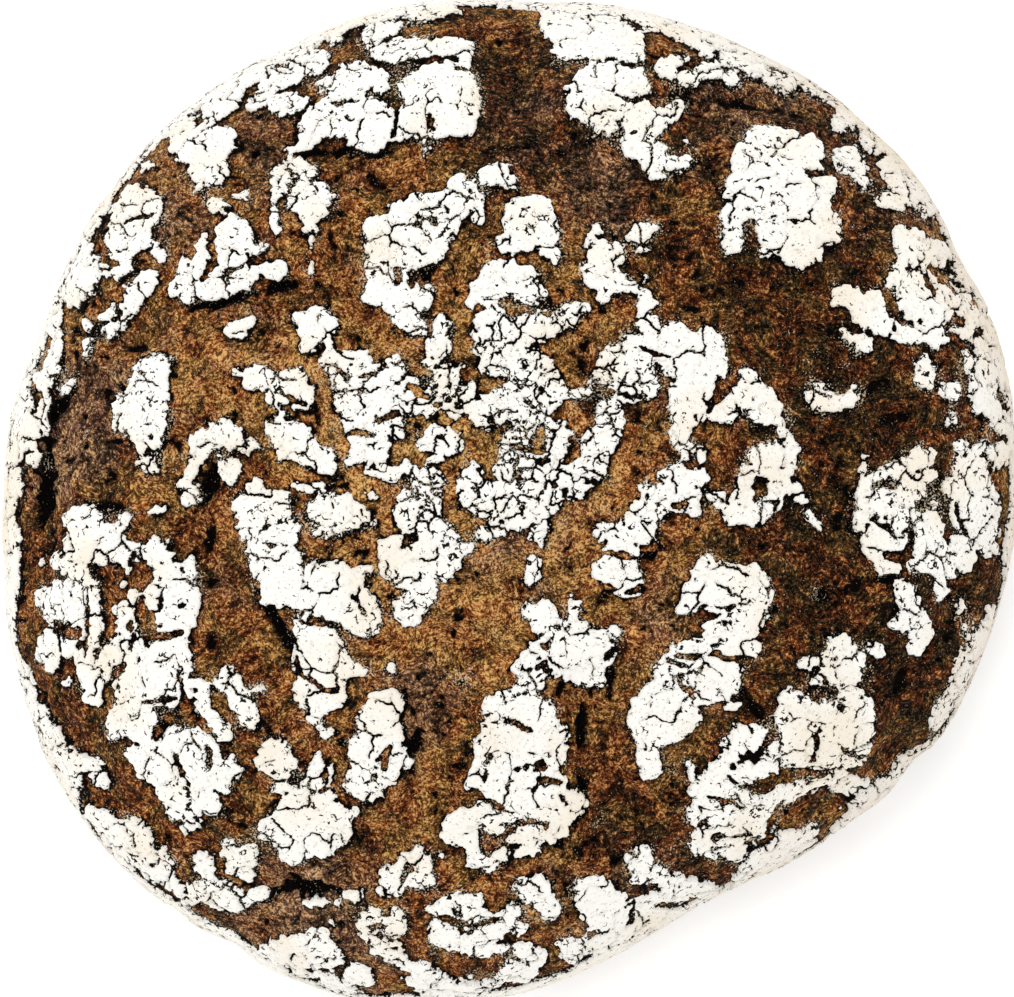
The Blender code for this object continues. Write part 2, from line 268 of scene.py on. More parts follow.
        (-8.2, 3.5, 6, 3, 85), (-3.5, 0.4, 4, 3.5), (-0.4, 7.4, 2.5, 2.5), (1.2, 2.7, 3, 3),
        (5.1, 1.2, 4, 3.5), (6.7, 6.7, 2.5, 2.5), (10.6, 6.7, 1.8, 3), (11.4, 0.4, 2, 3),
        (2, -3.5, 4, 2.5), (6.7, -3.5, 3.5, 2.5), (-5.9, -2.7, 2, 1.5), (-2.7, -7.4, 3.5, 1.8),
        (3.5, -6.6, 2, 1.8), (8.2, -9, 2, 1.8), (9.8, -5.9, 1.5, 2), (-5.9, -9, 2, 1),
        (6.7, -17.6, 4, 1.6, 80),
        (-38, 34.8, 4.5, 2.5), (-40.3, 30.9, 4, 4.5), (-32.5, 29.4, 5, 4.5), (-27, 32.5, 2.8, 3.5),
        (-37.2, 24.7, 6, 4), (-29.4, 23.9, 4.5, 4), (-23.1, 27.8, 2.5, 2.2), (-37.2, 19.2, 4, 1.8),
        (-33.3, 16, 6, 3), (-33.3, 12.1, 5, 3), (-27, 17.6, 2.5, 2.5), (-38, 9, 3, 1.2),
        (-30.9, 7.4, 4, 2), (-27.8, 5.1, 3, 1.6), (-23.9, 7.4, 1.8, 2),
        (-22.3, 23.5, 4.5, 2.3), (-18.4, 22.3, 2, 1.8), (-12.9, 22.3, 2.5, 1.8),
        (-14.5, 29.4, 3.5, 4), (-12.1, 32.5, 2, 1.5), (-16, 26.2, 2.2, 1.2), (-9.8, 27, 2.5, 2),
        (-16, 16, 4.5, 2), (-18.4, 13.7, 3.5, 2), (-13.7, 12.9, 3, 2), (-17.6, 9.8, 2.5, 1.2),
        (-18.4, 4.3, 3.5, 3.5), (-21, 2.5, 2.5, 2.5), (-24.5, -2, 3.5, 3.5), (-20.7, -3.5, 4, 4),
        (-25, -5.9, 2, 1.2), (-17.6, -1.2, 2, 2), (-23.9, -6.6, 1.5, 1),
        (-28.6, -11.3, 3.5, 2.5, 30), (-17.6, -9, 4.5, 4.5), (-27.8, -16, 4, 4),
        (-20.7, -15.2, 5, 4.5), (-13.7, -11.3, 3, 3.5), (-9, -12.1, 1.5, 1.2), (-14.5, -17.6, 3, 2.5),
        (-25.4, -20.7, 2.5, 1.5), (-11.4, -16, 1.2, 2), (-20, -23, 4, 3.5),
        (-25.4, -27, 3.5, 2.5, 60), (-23.9, -30.1, 3, 1.6, 15), (-21.5, -27.4, 2.5, 1.5),
        (-41.9, -0.4, 5, 2), (-41.1, -3.5, 6, 3), (-42.7, -8.2, 3, 1.3), (-44.7, -3, 4.5, 4),
        (-33.3, -6.6, 1, 0.9), (-44, 10, 1.5, 2),
        (-32.9, 1.2, 1.4, 0.9),
        (-44.7, -19.5, 5, 4), (-47, -24.2, 4, 4), (-50.2, -27.3, 1.8, 2.5), (-42.7, -16.8, 2.5, 1.5),
        (-38.7, -19.9, 4, 4), (-40.3, -25.4, 6, 5.5), (-34.8, -26.2, 5, 3.5, -50),
        (-35.6, -31.7, 4.5, 2.2, -10),
        (-61.1, 29.8, 4.5, 3), (-53.3, 28.3, 5.5, 4), (-51, 25.1, 4, 2.5), (-66.6, 31.4, 2, 1.3, -40),
        (-57.2, 25.1, 2, 2), (-54.9, 21.2, 1, 1),
        (-55.7, 16.5, 4, 3.5), (-51, 13.4, 5.5, 4, -60), (-45.5, 8.7, 3.5, 2.5, -30),
        (-58.8, 18.9, 1, 1),
    ],
    "left": [
        (-36.5, -17, 3.5, 1), (-93, -32, 1.8, 3.5), (-106.5, -18.5, 2.5, 2), (-103, -15.2, 4.5, 1),
        (-95.5, -13.8, 3.5, 1.8), (-87, -25, 1.5, 3), (-80, -25, 3, 2.5), (-58, 1, 4, 1.2),
        (-46, -8.5, 1.8, 1.2), (-38, -7, 2.5, 1), (-51, -18.5, 1.2, 2),
        (-101.2, -27.5, 2, 8.5), (-94.2, -31, 1.9, 5.5, 10), (-91, -37.5, 2.6, 2.4),
        (-83, -29.4, 3.6, 2), (-78, -18.5, 1.3, 5), (-76.6, -26, 1, 3), (-79.4, -37, 1.2, 5),
        (-88.6, -62, 2, 4), (-69, -43.8, 2, 2), (-58, -60.3, 2.6, 1.4), (-40, -38, 2, 1.5),
        (-36.4, -42, 3, 1.4), (-49.2, -32, 1.6, 1.5), (-88.3, 8.5, 2, 1.8), (-85, 16, 1.8, 5, -12),
        (-121.8, -6, 1.2, 8), (-122, -25, 1.1, 12), (-112, -35.5, 1.2, 4.5, 15), (-47, 2.6, 3.6, 1.4),
        (-36, -3.5, 2, 3.2, 20), (-47.5, 13, 4.5, 1.5, -60), (-52, -9, 1.5, 2.5),
        (-111.6, 35.3, 5, 2, 85), (-114.4, 29, 2.5, 3), (-117.5, 17, 5.5, 2.5, 80),
        (-108.9, 28.3, 3.5, 1.5, 40),
        (-121.4, 3.2, 4.5, 2.2, 80), (-123, -4.6, 6, 2, 90), (-122.2, -13.2, 5, 2, 90),
        (-122.6, -24.2, 5, 1.2, -85), (-116.3, 9.5, 1.5, 2),
        (-87.7, 28.3, 6.5, 5.5, 80), (-90.1, 21.2, 6.5, 6), (-94.8, 21.2, 2, 4), (-90.9, 15.7, 3, 3.5),
        (-85.4, 33, 3.5, 3.5),
        (-87.4, 8.3, 2.3, 2.4), (-90.1, 12.6, 1.2, 1.5),
        (-70.5, 15.7, 5.5, 3.5), (-75.2, 14.2, 3, 2.5, 60), (-65.1, 13.4, 3, 2, -30),
        (-62.7, 12.6, 1.5, 1.8), (-75.2, 11, 1.5, 2),
        (-78.4, 6.4, 3.5, 2, 75), (-78.5, 2.5, 2.5, 1.2), (-85.4, -3, 3, 1, 10), (-77.6, 0.1, 2.5, 2),
        (-68.2, 7.9, 3, 2.8), (-68.2, 4.4, 1.2, 0.9),
        (-60.4, -1.5, 6.5, 4.5), (-62.7, -6.2, 3.5, 4), (-54.9, -3.8, 2.5, 4), (-61.9, 3.8, 2.5, 1.6),
        (-51.8, 3.2, 1.5, 1), (-56.4, -8.5, 4, 2), (-52.5, -7.7, 2, 2), (-61.1, -13.2, 3, 4),
        (-55.7, -15.6, 5, 4.5), (-57.2, -21.8, 4, 4), (-53.3, -24.2, 3, 3.5), (-51.8, -14, 1.5, 1.5),
        (-61.5, -17.5, 1.2, 2), (-58, -25.7, 2.5, 1.2),
        (-45.5, -35.1, 5.5, 4), (-47, -39, 6, 5), (-42.4, -39.8, 4, 3), (-51, -32.8, 2, 3),
        (-45.5, -46, 6, 4.5), (-39.7, -42, 4, 1.8, 15), (-49.9, -47.5, 3.5, 3.5),
        (-42.8, -48.3, 3.5, 3.5), (-47.5, -50.7, 4, 2.5), (-47.5, -53.8, 2, 2),
        (-44.4, -56.9, 2, 1.2, -20),
        (-104.2, -5.4, 5, 4.2), (-103.4, -10.9, 6, 4.5), (-97.1, -10.1, 2.5, 3.5),
        (-94.8, -5.4, 1.5, 2), (-92.4, -11.6, 1.8, 1.5), (-109.7, -15.6, 2.5, 1.5, 30),
        (-96.4, -14.8, 3, 1.5, -25), (-115.1, -15.9, 1, 1),
        (-109.7, -25.7, 6, 5.5), (-103.4, -23.4, 5, 2.5, 90), (-114.4, -23.4, 2, 2.5),
        (-105, -29.6, 4, 2), (-114, -36.5, 4.5, 2, 80), (-112, -39.8, 1.5, 3),
        (-102.6, -34.3, 1.6, 3.5), (-107.5, -36.9, 2, 2.8),
        (-102.9, -41.5, 5.5, 3, -80), (-102.3, -48.3, 2.2, 3), (-108.6, -45.3, 1.2, 1),
        (-86.2, -14, 4.2, 4.2), (-83.1, -20.2, 5.5, 4, -70), (-83.1, -25, 2.5, 2.5),
        (-77.6, -21, 4.5, 1.4, -80), (-77.6, -28.9, 1.5, 2.5), (-86.2, -28.9, 3, 1.2, -70),
        (-91.7, -24.2, 1.4, 1.8), (-94, -21, 1, 0.8), (-93.2, -17.9, 0.8, 0.9),
        (-94, -30.4, 4, 2.2, -75), (-95.5, -38.5, 3.8, 4.5), (-92.3, -43.4, 3.3, 3),
        (-96.4, -42.9, 3.5, 3.5), (-82.3, -32, 3, 2), (-83.1, -35.1, 4, 2.5), (-83.8, -40.9, 6.5, 5.5),
        (-89.3, -45.3, 4, 3), (-84.3, -48.3, 5, 3), (-81.2, -42, 4, 4), (-76.6, -47.2, 3.5, 3),
        (-93.7, -53.8, 4.5, 4.2), (-89, -53.8, 3, 4), (-96, -57.7, 3, 2), (-90.6, -57.7, 2.5, 2),
        (-92.9, -49.1, 3, 2),
        (-68.5, -43.9, 2.5, 2, -50), (-66.2, -48.2, 4.5, 3, -60), (-63.2, -53.8, 2.2, 3),
        (-60.1, -47.1, 1.4, 1.4),
        (-73.4, -53.8, 3, 2, -40), (-69.4, -56.9, 2.5, 1.8, -50), (-74.9, -51, 1.5, 1.5),
        (-81.2, -59.3, 4, 3), (-76.5, -60, 5, 4), (-82.8, -64.7, 5.5, 5), (-74.1, -65.5, 6, 5.5),
        (-92.1, -63.2, 2.5, 2, -45), (-88.2, -66.3, 3.5, 3), (-85.9, -68.6, 3, 2.5),
        (-70.2, -69.4, 4, 2.5, -50), (-67.1, -66.3, 1.8, 3), (-78.8, -68.6, 5, 2.5),
        (-74.9, -73.3, 4, 3.5), (-74.1, -76.5, 3.5, 2.5), (-81.2, -74.9, 4.5, 3.2, -70),
        (-78, -81.2, 2.5, 1.5, 10), (-84.3, -72.6, 2, 2),
        (-57.1, -63.6, 4.5, 4.2), (-53.8, -66.3, 2.5, 2), (-60.8, -64.3, 1, 1), (-55.4, -67.9, 2, 1.2),
        (-46.7, -68.6, 4.5, 3.5, 50), (-48.3, -72.6, 3, 2), (-49.9, -76.5, 7, 4),
        (-42.8, -78.8, 4.5, 4), (-54.6, -81.2, 5.5, 5), (-46.7, -84.3, 6, 4), (-52.2, -88.2, 4, 2.5),
        (-39.7, -82, 2, 3), (-54.6, -71.8, 3, 1.5), (-44.4, -73.4, 2.5, 2), (-59.7, -82, 1.5, 2),
        (-37.4, -76.5, 1, 1.5),
    ],
    "bottom": [
        (-75, -89, 3, 1.4, -35), (-70, -95.8, 5, 1.1, -35), (-106, -68, 1.3, 6),
        (-96, -80.5, 4, 1.2, -25), (-43, -113, 2.5, 3), (-40, -120.5, 5, 1.4, -15),
        (-34, -118, 1.5, 2.4), (-46, -99.8, 3.4, 0.9), (-37.4, -98.3, 2, 1.6), (-11, -98.3, 4.5, 1.4),
        (-15, -101, 1.5, 1.6), (-7.5, -88.4, 2.6, 1.2, 20), (-9, -77.4, 2.6, 1), (-46, -64.6, 1.5, 2),
        (-30.5, -67, 1.4, 2.8), (14, -70.5, 1, 3), (16.5, -73.6, 3, 1.4, -25), (15, -79, 1.2, 2.5),
        (12.4, -42, 2, 2.2), (20, -32.8, 7, 1, -3), (16.2, -27.5, 1.2, 3.4), (2.6, -41, 1.6, 2.5),
        (10, -35, 1.5, 1.5), (33.5, -107, 2, 1.2), (17, -109.6, 4, 1), (-1.5, -106.5, 2.5, 1.1),
        (8, -43.5, 1.6, 1.8),
        (-117.2, -47.5, 1.5, 3), (-115.6, -53, 5, 2.2, -55), (-111.7, -59.3, 5.5, 2.5, -60),
        (-109.4, -64.7, 4.5, 2.5, -60), (-107.8, -70.2, 3.5, 2, -60),
        (-102.3, -66.3, 3.5, 2.3, -55), (-100, -70.2, 2.5, 1.8, -40),
        (-100.7, -78.8, 4, 2.5, -35), (-96, -82.7, 4.5, 3, -40), (-91.4, -80.4, 3, 1, -40),
        (-93.7, -88.2, 5, 1.5, -40), (-90.6, -85.1, 4, 3, -45), (-86.7, -91.3, 5, 3, -40),
        (-83.5, -88.2, 3, 1.5, -50), (-82.8, -95.2, 4, 1.5, -30),
        (-74.1, -91.4, 2.5, 3.5), (-76.5, -97.6, 3, 2.5), (-70.2, -97.6, 5.5, 2.5),
        (-67.1, -100, 5, 1.5, 5), (-67.1, -87.4, 4, 1.8), (-66.3, -90.6, 3, 3),
        (-63.6, -92.9, 1.8, 2.5), (-60.8, -97.6, 2.5, 1.8), (-62.4, -87.4, 1.2, 2.5),
        (-68.7, -85.1, 2, 0.9),
        (-46.7, -100, 3, 1, 5), (-37.3, -97.8, 2, 1.5),
        (-56.1, -110.9, 5, 2.5, 5), (-48.3, -110.1, 5, 3), (-46.7, -107.4, 2.5, 1),
        (-50.7, -114, 6, 2, -5), (-46.7, -117.9, 6, 1, -12), (-36.5, -117.2, 3, 1.8, -10),
        (-28.2, -42, 1.2, 1.5), (-29.4, -50.7, 4.5, 3.5), (-30.1, -56.9, 5, 5.5), (-34, -54.6, 3, 4),
        (-35.6, -62.4, 5.5, 3.8, 85), (-36.4, -69.4, 3.5, 4), (-27, -64, 3, 3.5),
        (-23.9, -65.1, 1.5, 1), (-29.4, -68.6, 3.5, 2.5, 30), (-33.3, -72.6, 2.5, 1.5),
        (-27.4, -48.3, 1.5, 1.5), (-31.7, -49.9, 2.5, 2),
        (-0.4, -47.5, 2.5, 1, 20), (5.1, -46.7, 4, 1.2), (5.1, -44.4, 2.5, 2), (-1.2, -51.4, 4.5, 3.5),
        (5.1, -52.2, 5.5, 4.5), (9.8, -53.8, 3.5, 4.5), (3.5, -60, 8, 6), (12.9, -62.4, 2.5, 4),
        (-2.7, -58.5, 3.5, 5), (12.9, -56.9, 2, 3), (-7.4, -62.4, 2.5, 3), (-7.4, -67.1, 2.5, 2.5),
        (-8.2, -70.2, 2, 1.8), (-2.7, -66.3, 3, 1.8), (2, -71, 6, 4), (9.8, -70.2, 4.5, 4),
        (-2.7, -71.8, 3.5, 3), (8.2, -77.3, 7, 6), (2, -76.5, 5, 4), (17.6, -75.7, 2.5, 2),
        (5.1, -84.3, 4.5, 2.5), (5.1, -87.4, 3, 1.2, 10), (11.4, -82, 4, 3.5),
        (-10.6, -80.4, 4.5, 4), (-14.5, -82.8, 2, 2), (-4.3, -77.3, 3.5, 2.5, -30),
        (-2.7, -81.2, 3, 1.5), (-8.2, -85.9, 2.2, 2.2), (-9.8, -83.5, 3, 2.5),
        (-1.6, -87.8, 2, 1.8), (-6.7, -90.6, 4, 1.2, 5), (-4.7, -89.8, 2, 1.2),
        (-23.1, -91.4, 4.5, 4), (-27.8, -93.7, 4.5, 3.5, 40), (-20, -90.6, 2.2, 3),
        (-29.4, -96.8, 3, 2), (-22.3, -87.4, 2, 1.5), (-19.2, -93.7, 1.5, 2),
        (-32.5, -105.4, 5.5, 3), (-27, -103.9, 2.5, 2.5), (-30.1, -108.6, 5, 2),
        (-28.6, -111.7, 3.5, 1.5, -20), (-25.4, -114.4, 5, 1, -8),
        (-20.7, -116.4, 3, 2.5), (-21.5, -119.5, 4, 1.5, -10), (-16, -117.2, 1.5, 1),
        (-12.9, -119.5, 5.5, 1.5), (-16.8, -121.9, 5, 1), (-9, -121.1, 3.5, 1.5),
        (-4.3, -119.5, 2.5, 1),
        (-9, -99.2, 3.5, 3), (-15.3, -105.4, 3.5, 4.5), (-7.4, -103.1, 4.5, 3),
        (-1.2, -104.6, 4.5, 2.2, 35), (-13.7, -109.4, 5, 2, -12), (2, -102.3, 2, 1.5),
        (-8.2, -110.1, 4.5, 2.5), (-4.3, -107.8, 4, 2.2), (-16.8, -101.5, 2, 2),
        (-2.7, -110.9, 4, 1.2, 10), (4.3, -106.2, 1, 1.5),
        (5.1, -111.7, 4, 2, -20), (3.5, -116.4, 4.5, 2.2), (8.2, -113.3, 2.5, 2), (2, -118, 4, 1.2),
        (7.4, -96.8, 4, 3.2), (10.6, -100.7, 3.5, 3, -20), (4.3, -95.3, 2, 1.5), (9, -94, 1.5, 1.2),
        (22.3, -97.6, 4.5, 4.5), (24.6, -102.3, 5.5, 4), (27.8, -100, 2.5, 3), (19.2, -101.5, 2, 3),
        (20, -95.3, 2, 1.5),
        (16, -111.7, 2.2, 3, 30), (21.5, -110.1, 6.5, 2.2, 12), (27.8, -107.8, 5, 2, 28),
        (34, -87.4, 2, 2.2), (33.2, -89.8, 3, 2), (37.9, -92.9, 2.8, 2.5), (33.2, -93.3, 1.5, 2),
        (34, -102.3, 1.8, 2.5), (36.4, -100, 3, 2.2), (43.6, -95.7, 5, 2.2), (49.1, -95.7, 3, 1.2),
        (50.6, -97.3, 4.5, 1.2, 15), (39.7, -98.9, 4.5, 1.5), (37.3, -102.8, 4.5, 2, 15),
        (42.8, -102, 3.5, 1.5, 25),
    ],
    "right": [
        (36, -5, 2.5, 2), (11.5, -41.5, 1.5, 2.5), (18.5, -31.5, 3, 1),
        (32.6, -54, 1.8, 5.5), (35, -59.6, 2, 2), (38.4, -41.6, 2.4, 1.8, 50),
        (52.4, -27.6, 3.4, 1, -12), (54.5, -29.6, 1.6, 1), (49.4, -35, 2, 1.8), (51, -31.6, 2, 1),
        (61, -65.6, 4.6, 1.8, 15), (54.6, -71.6, 3.6, 2), (63, -74, 4, 1.1, 12),
        (59.5, -56.8, 2.6, 1.2), (55, -61.6, 1.5, 2), (68.6, -51, 1.4, 3), (75, -50, 3, 1, -20),
        (84.4, -52.6, 1.6, 1.5), (80, -37.5, 3.2, 1.3, 65), (82, -40.6, 2, 1.2),
        (89.8, -12, 6, 1.3, -62), (98, -21.4, 2, 1.2), (96, -31, 1.6, 0.8), (112, -10.4, 2.2, 2.6),
        (106, -15, 2.6, 0.8), (74, -40.6, 2, 1.3), (84.5, -72, 4.2, 1.4, -8), (59.6, -90, 1.6, 1.6),
        (65, -86.4, 3.4, 1.1, 32), (32, -93, 1.6, 1.5), (45.6, -67, 1, 2.4), (45, -26.5, 2.2, 1.8),
        (38, -46, 1.6, 2), (95, 8, 3.5, 1.2, 15), (103.5, 6, 2.6, 1.2), (89, 8, 1.2, 2.4),
        (42.8, 40.3, 4.5, 4), (48.3, 37.2, 6, 4.5, 70), (41.3, 34.8, 4, 3.5), (51.4, 32.5, 2.5, 3),
        (52.2, 37.2, 1.5, 3), (45.2, 31.7, 4, 2.5), (38.9, 38.7, 2.5, 2.5), (44.4, 24.7, 4.5, 5),
        (49.1, 27, 2.5, 3.5), (43.6, 19.2, 3, 2.5), (48.3, 21.5, 1.8, 2), (42, 27.8, 2, 2),
        (45.2, 12.9, 3, 1.5, -55), (43.6, 16, 1.8, 1.5), (48.3, 10.6, 1.2, 2),
        (42, 4.3, 3, 4), (45.2, 1.2, 3, 4), (48.3, 5.9, 1.8, 2), (39.7, 0.4, 2.5, 3),
        (46.7, -2.7, 2, 1), (37.2, -1.2, 5, 2.8, 45), (41.1, 5.9, 3.5, 2.5), (42.7, -0.4, 4, 2.5),
        (31.7, -5, 3.5, 2), (29.4, -8.2, 5.5, 3.5, 10), (34.8, -8.2, 2, 3), (27.8, -12.9, 4.5, 2.5),
        (24.7, -6.6, 2, 1.2), (27, -17.6, 5, 4), (30.9, -19.9, 3, 3), (23.1, -16.8, 2, 2),
        (30.1, -23.1, 2, 1.2),
        (60.8, 25.4, 5.5, 4.5), (60, 30.1, 2.5, 2.5), (66.3, 23.1, 2.5, 3), (55.3, 22.3, 3, 2.5),
        (64, 20.7, 4, 1.8), (67.9, 18.4, 2, 1.5, -50), (70.2, 16, 1.8, 1, -45), (53, 20, 2.5, 1.2),
        (66.3, 9, 5, 5), (70.2, 12.9, 1.5, 1.5), (62.4, 9.8, 2, 2.5), (59.3, 7.4, 2.2, 1.8),
        (58.5, 4.3, 1.5, 2.5), (73.3, 0.4, 2, 1.5, -20), (71.8, 2.7, 1.5, 1.5), (67.9, 2.7, 2.5, 1.8),
        (57.7, -2, 4, 4), (64.7, -1.2, 4, 2, 10), (60.8, -5, 2.5, 1.8), (52.2, -0.4, 1.2, 1.5),
        (59.3, 1.6, 2, 1.2), (56.1, -5, 3, 1.2),
        (76.1, -5, 3.3, 1.3, -50),
        (80.4, 23.9, 3.8, 2.5), (76.5, 25.4, 2.2, 1.8), (85.1, 24.7, 2.5, 2, 10), (78, 28.2, 2, 0.8),
        (85.9, 27.8, 1, 0.8),
        (103.5, 31.6, 3.8, 2.7, 90), (104.6, 28.2, 1.5, 1.2),
        (109.7, 27, 2.3, 2.8), (110.1, 19.2, 1, 1.5),
        (117.9, 29.4, 7, 3.5, 85), (119.5, 23.1, 3.5, 3), (122.6, 19.2, 2.5, 3.5), (114, 34.8, 1.5, 3),
        (99.2, 8.2, 5.5, 2.2, 22), (103.1, 11.4, 3, 1.5, 10), (89, 8.2, 1.8, 2), (105.4, 6.7, 1, 2),
        (90.6, 1.2, 4, 4.5), (94.5, -2, 3, 3), (92.1, 4.3, 2.5, 2.5), (100.7, 2.7, 3.5, 3),
        (97.6, 0.4, 2.5, 2), (87.4, -4.3, 2, 1.8), (99.2, -3.5, 3, 2.5), (96.8, -5.9, 2, 2),
        (91.3, -9.8, 3.5, 4.5), (93.7, -14.5, 4.5, 3, -70), (95.3, -9, 1.8, 3),
        (98.4, -12.1, 1.8, 3.5),
        (103.1, -9, 4, 5), (106.2, -13.7, 3.5, 4), (101.5, -14.5, 3.5, 3.5), (105.4, -5.9, 2.5, 3),
        (107.8, -17.6, 3.5, 3), (107, -22.3, 2, 2, -30), (105.4, -1.2, 1, 1.5),
        (114.8, 7.4, 4.5, 3.5), (116.4, 1.2, 5, 5), (117.9, -5, 6, 4.5, 90), (110.1, 2.7, 2.5, 2.5),
        (112.5, -5.9, 6, 2, -70), (119.5, -12.1, 2, 2.5), (113.2, -14.5, 3.5, 2.5),
        (113.2, -17.6, 1.5, 1.2), (116.4, 12.1, 2.5, 1.5), (121.9, 11.4, 3, 3),
        (112.5, 12.9, 2, 1, 60),
        (99.2, -24.6, 2.8, 3.5), (101.5, -30.1, 4.5, 3.5, -65), (103.9, -33.3, 2.5, 3),
        (96.8, -30.9, 2.2, 0.9), (101.5, -36.4, 2, 1.5, 20),
        (112.1, -26.2, 0.9, 1.6),
        (116.4, -37.2, 7, 2.2, 70), (114, -31.7, 1, 1.5), (113.2, -41, 3.5, 2, 70),
        (118.7, -30.9, 4.5, 1.3, 70), (111.7, -45.6, 5, 1.8, 65), (109.3, -51.1, 3.5, 1.5, 70),
        (107, -54.3, 3, 1.5, 60),
        (82, -37.2, 3.8, 3.8), (85.9, -41, 3.5, 3), (89, -38.7, 3.5, 1.5, 25), (81.2, -42.6, 3, 2.5),
        (83.5, -44.9, 3.5, 2.5), (87.4, -42.5, 1.8, 2.5), (91.3, -37.8, 2, 1),
        (85.1, -48, 4, 2.5, -50), (89, -51.9, 2.5, 3.5), (70.2, -49.6, 3.5, 2.8), (71, -54.3, 5, 4),
        (68.7, -62.1, 3.5, 2.5), (72.6, -59.7, 4, 4.5), (71.8, -64.4, 4, 2.5), (78.8, -53.5, 5, 3.5),
        (78.8, -62.9, 4, 3.5), (82, -59, 5.5, 4.5), (87.4, -55.8, 4, 5), (86.6, -61.3, 3.5, 2.5),
        (85.9, -64.4, 3.5, 1.5, 15),
        (74.1, -41, 2.5, 1.3), (76.9, -45.6, 1.6, 1),
        (50.6, -17.6, 4, 3), (53, -22.3, 5, 4.5), (46.7, -23.1, 4, 3.5, 30), (44.4, -27, 2, 1.5),
        (56.1, -19.2, 2.5, 3), (49.9, -14.5, 1.8, 1.5), (61.6, -21.5, 5.5, 4, 90), (60, -29.3, 4, 5.5),
        (64, -25.4, 2, 5), (60.8, -36.4, 2.5, 2), (56.9, -33.3, 2.5, 2.5),
        (52.2, -32.5, 3.5, 1.8), (50.6, -39.8, 5.5, 3.5), (43.2, -38, 3, 2.5, 30),
        (55.3, -37.2, 3, 2.5), (47.5, -43.3, 4, 3.5), (53, -45.6, 5, 4.5), (56.1, -42.5, 2.5, 3),
        (49.1, -48.8, 3.5, 2.5), (56.1, -51.1, 2, 1.2), (46.7, -37, 3, 1.5, -50),
        (39.7, -44.1, 3, 3), (37.3, -48, 4.5, 3.5), (42.8, -48, 4, 3.5), (39.7, -54.3, 6.5, 4.5),
        (36.6, -53.5, 4, 4.5), (45.2, -52.7, 3, 3), (39.7, -59, 3.5, 1.5),
        (35.6, -63.5, 4.3, 2.8, -80), (34.8, -67.9, 1.2, 1),
        (59.3, -59, 4, 3.5, 15), (62.4, -57.4, 2.5, 1.5, 40), (56.1, -59.7, 2, 2),
        (53.8, -64.4, 3.5, 1.5, 20), (52.2, -67.6, 4.5, 2.5, 35), (48.3, -71.5, 2.8, 2),
        (62.4, -66.8, 5, 2, 15), (59.3, -68.3, 2, 1.2), (65.5, -65.2, 1.8, 1.8),
        (49.1, -76.2, 3.5, 3), (46.7, -77.7, 2, 2.5), (60, -74.6, 5, 2.5, -12), (54.6, -79.3, 5, 3.5),
        (61.6, -80.1, 4.5, 3.5), (64, -76.9, 3, 2, -20), (67.1, -74.6, 2.5, 1, 10),
        (53, -73.8, 3, 1.2, -20), (58.5, -82.4, 4, 1.5),
        (48.7, -84.8, 3.3, 3.8), (51.4, -87.9, 1.5, 1.2), (56.1, -86, 3.5, 3.2),
        (72.6, -71.5, 5.5, 1.5, 15), (77.3, -69.9, 2.2, 1.2, 10), (67.9, -72.6, 2, 0.8, 10),
        (83.5, -69.1, 3.5, 2), (87.4, -71.5, 3.5, 2.2), (89.8, -73.8, 2.5, 1, 20),
        (67.9, -86.3, 6.5, 3, 35), (62.4, -89.5, 4, 3, 30), (73.3, -84, 4, 2, 35),
        (60, -92.6, 3.5, 1.2, 20),
        (9, -29.3, 4, 3.5), (5.9, -27.8, 1.8, 2), (9.8, -33.3, 2, 1.5),
        (16.4, -27.4, 2, 2.8), (17.6, -35.6, 6, 4), (23.9, -37.2, 3.5, 4.5), (16.8, -41.1, 6, 4),
        (12.9, -35.6, 2, 3), (27, -32.5, 1.8, 1.5), (21.5, -43.4, 4, 2),
        (5.9, -38.7, 3.8, 2.8, 20), (2.7, -41.9, 1.5, 1.2),
    ],
}

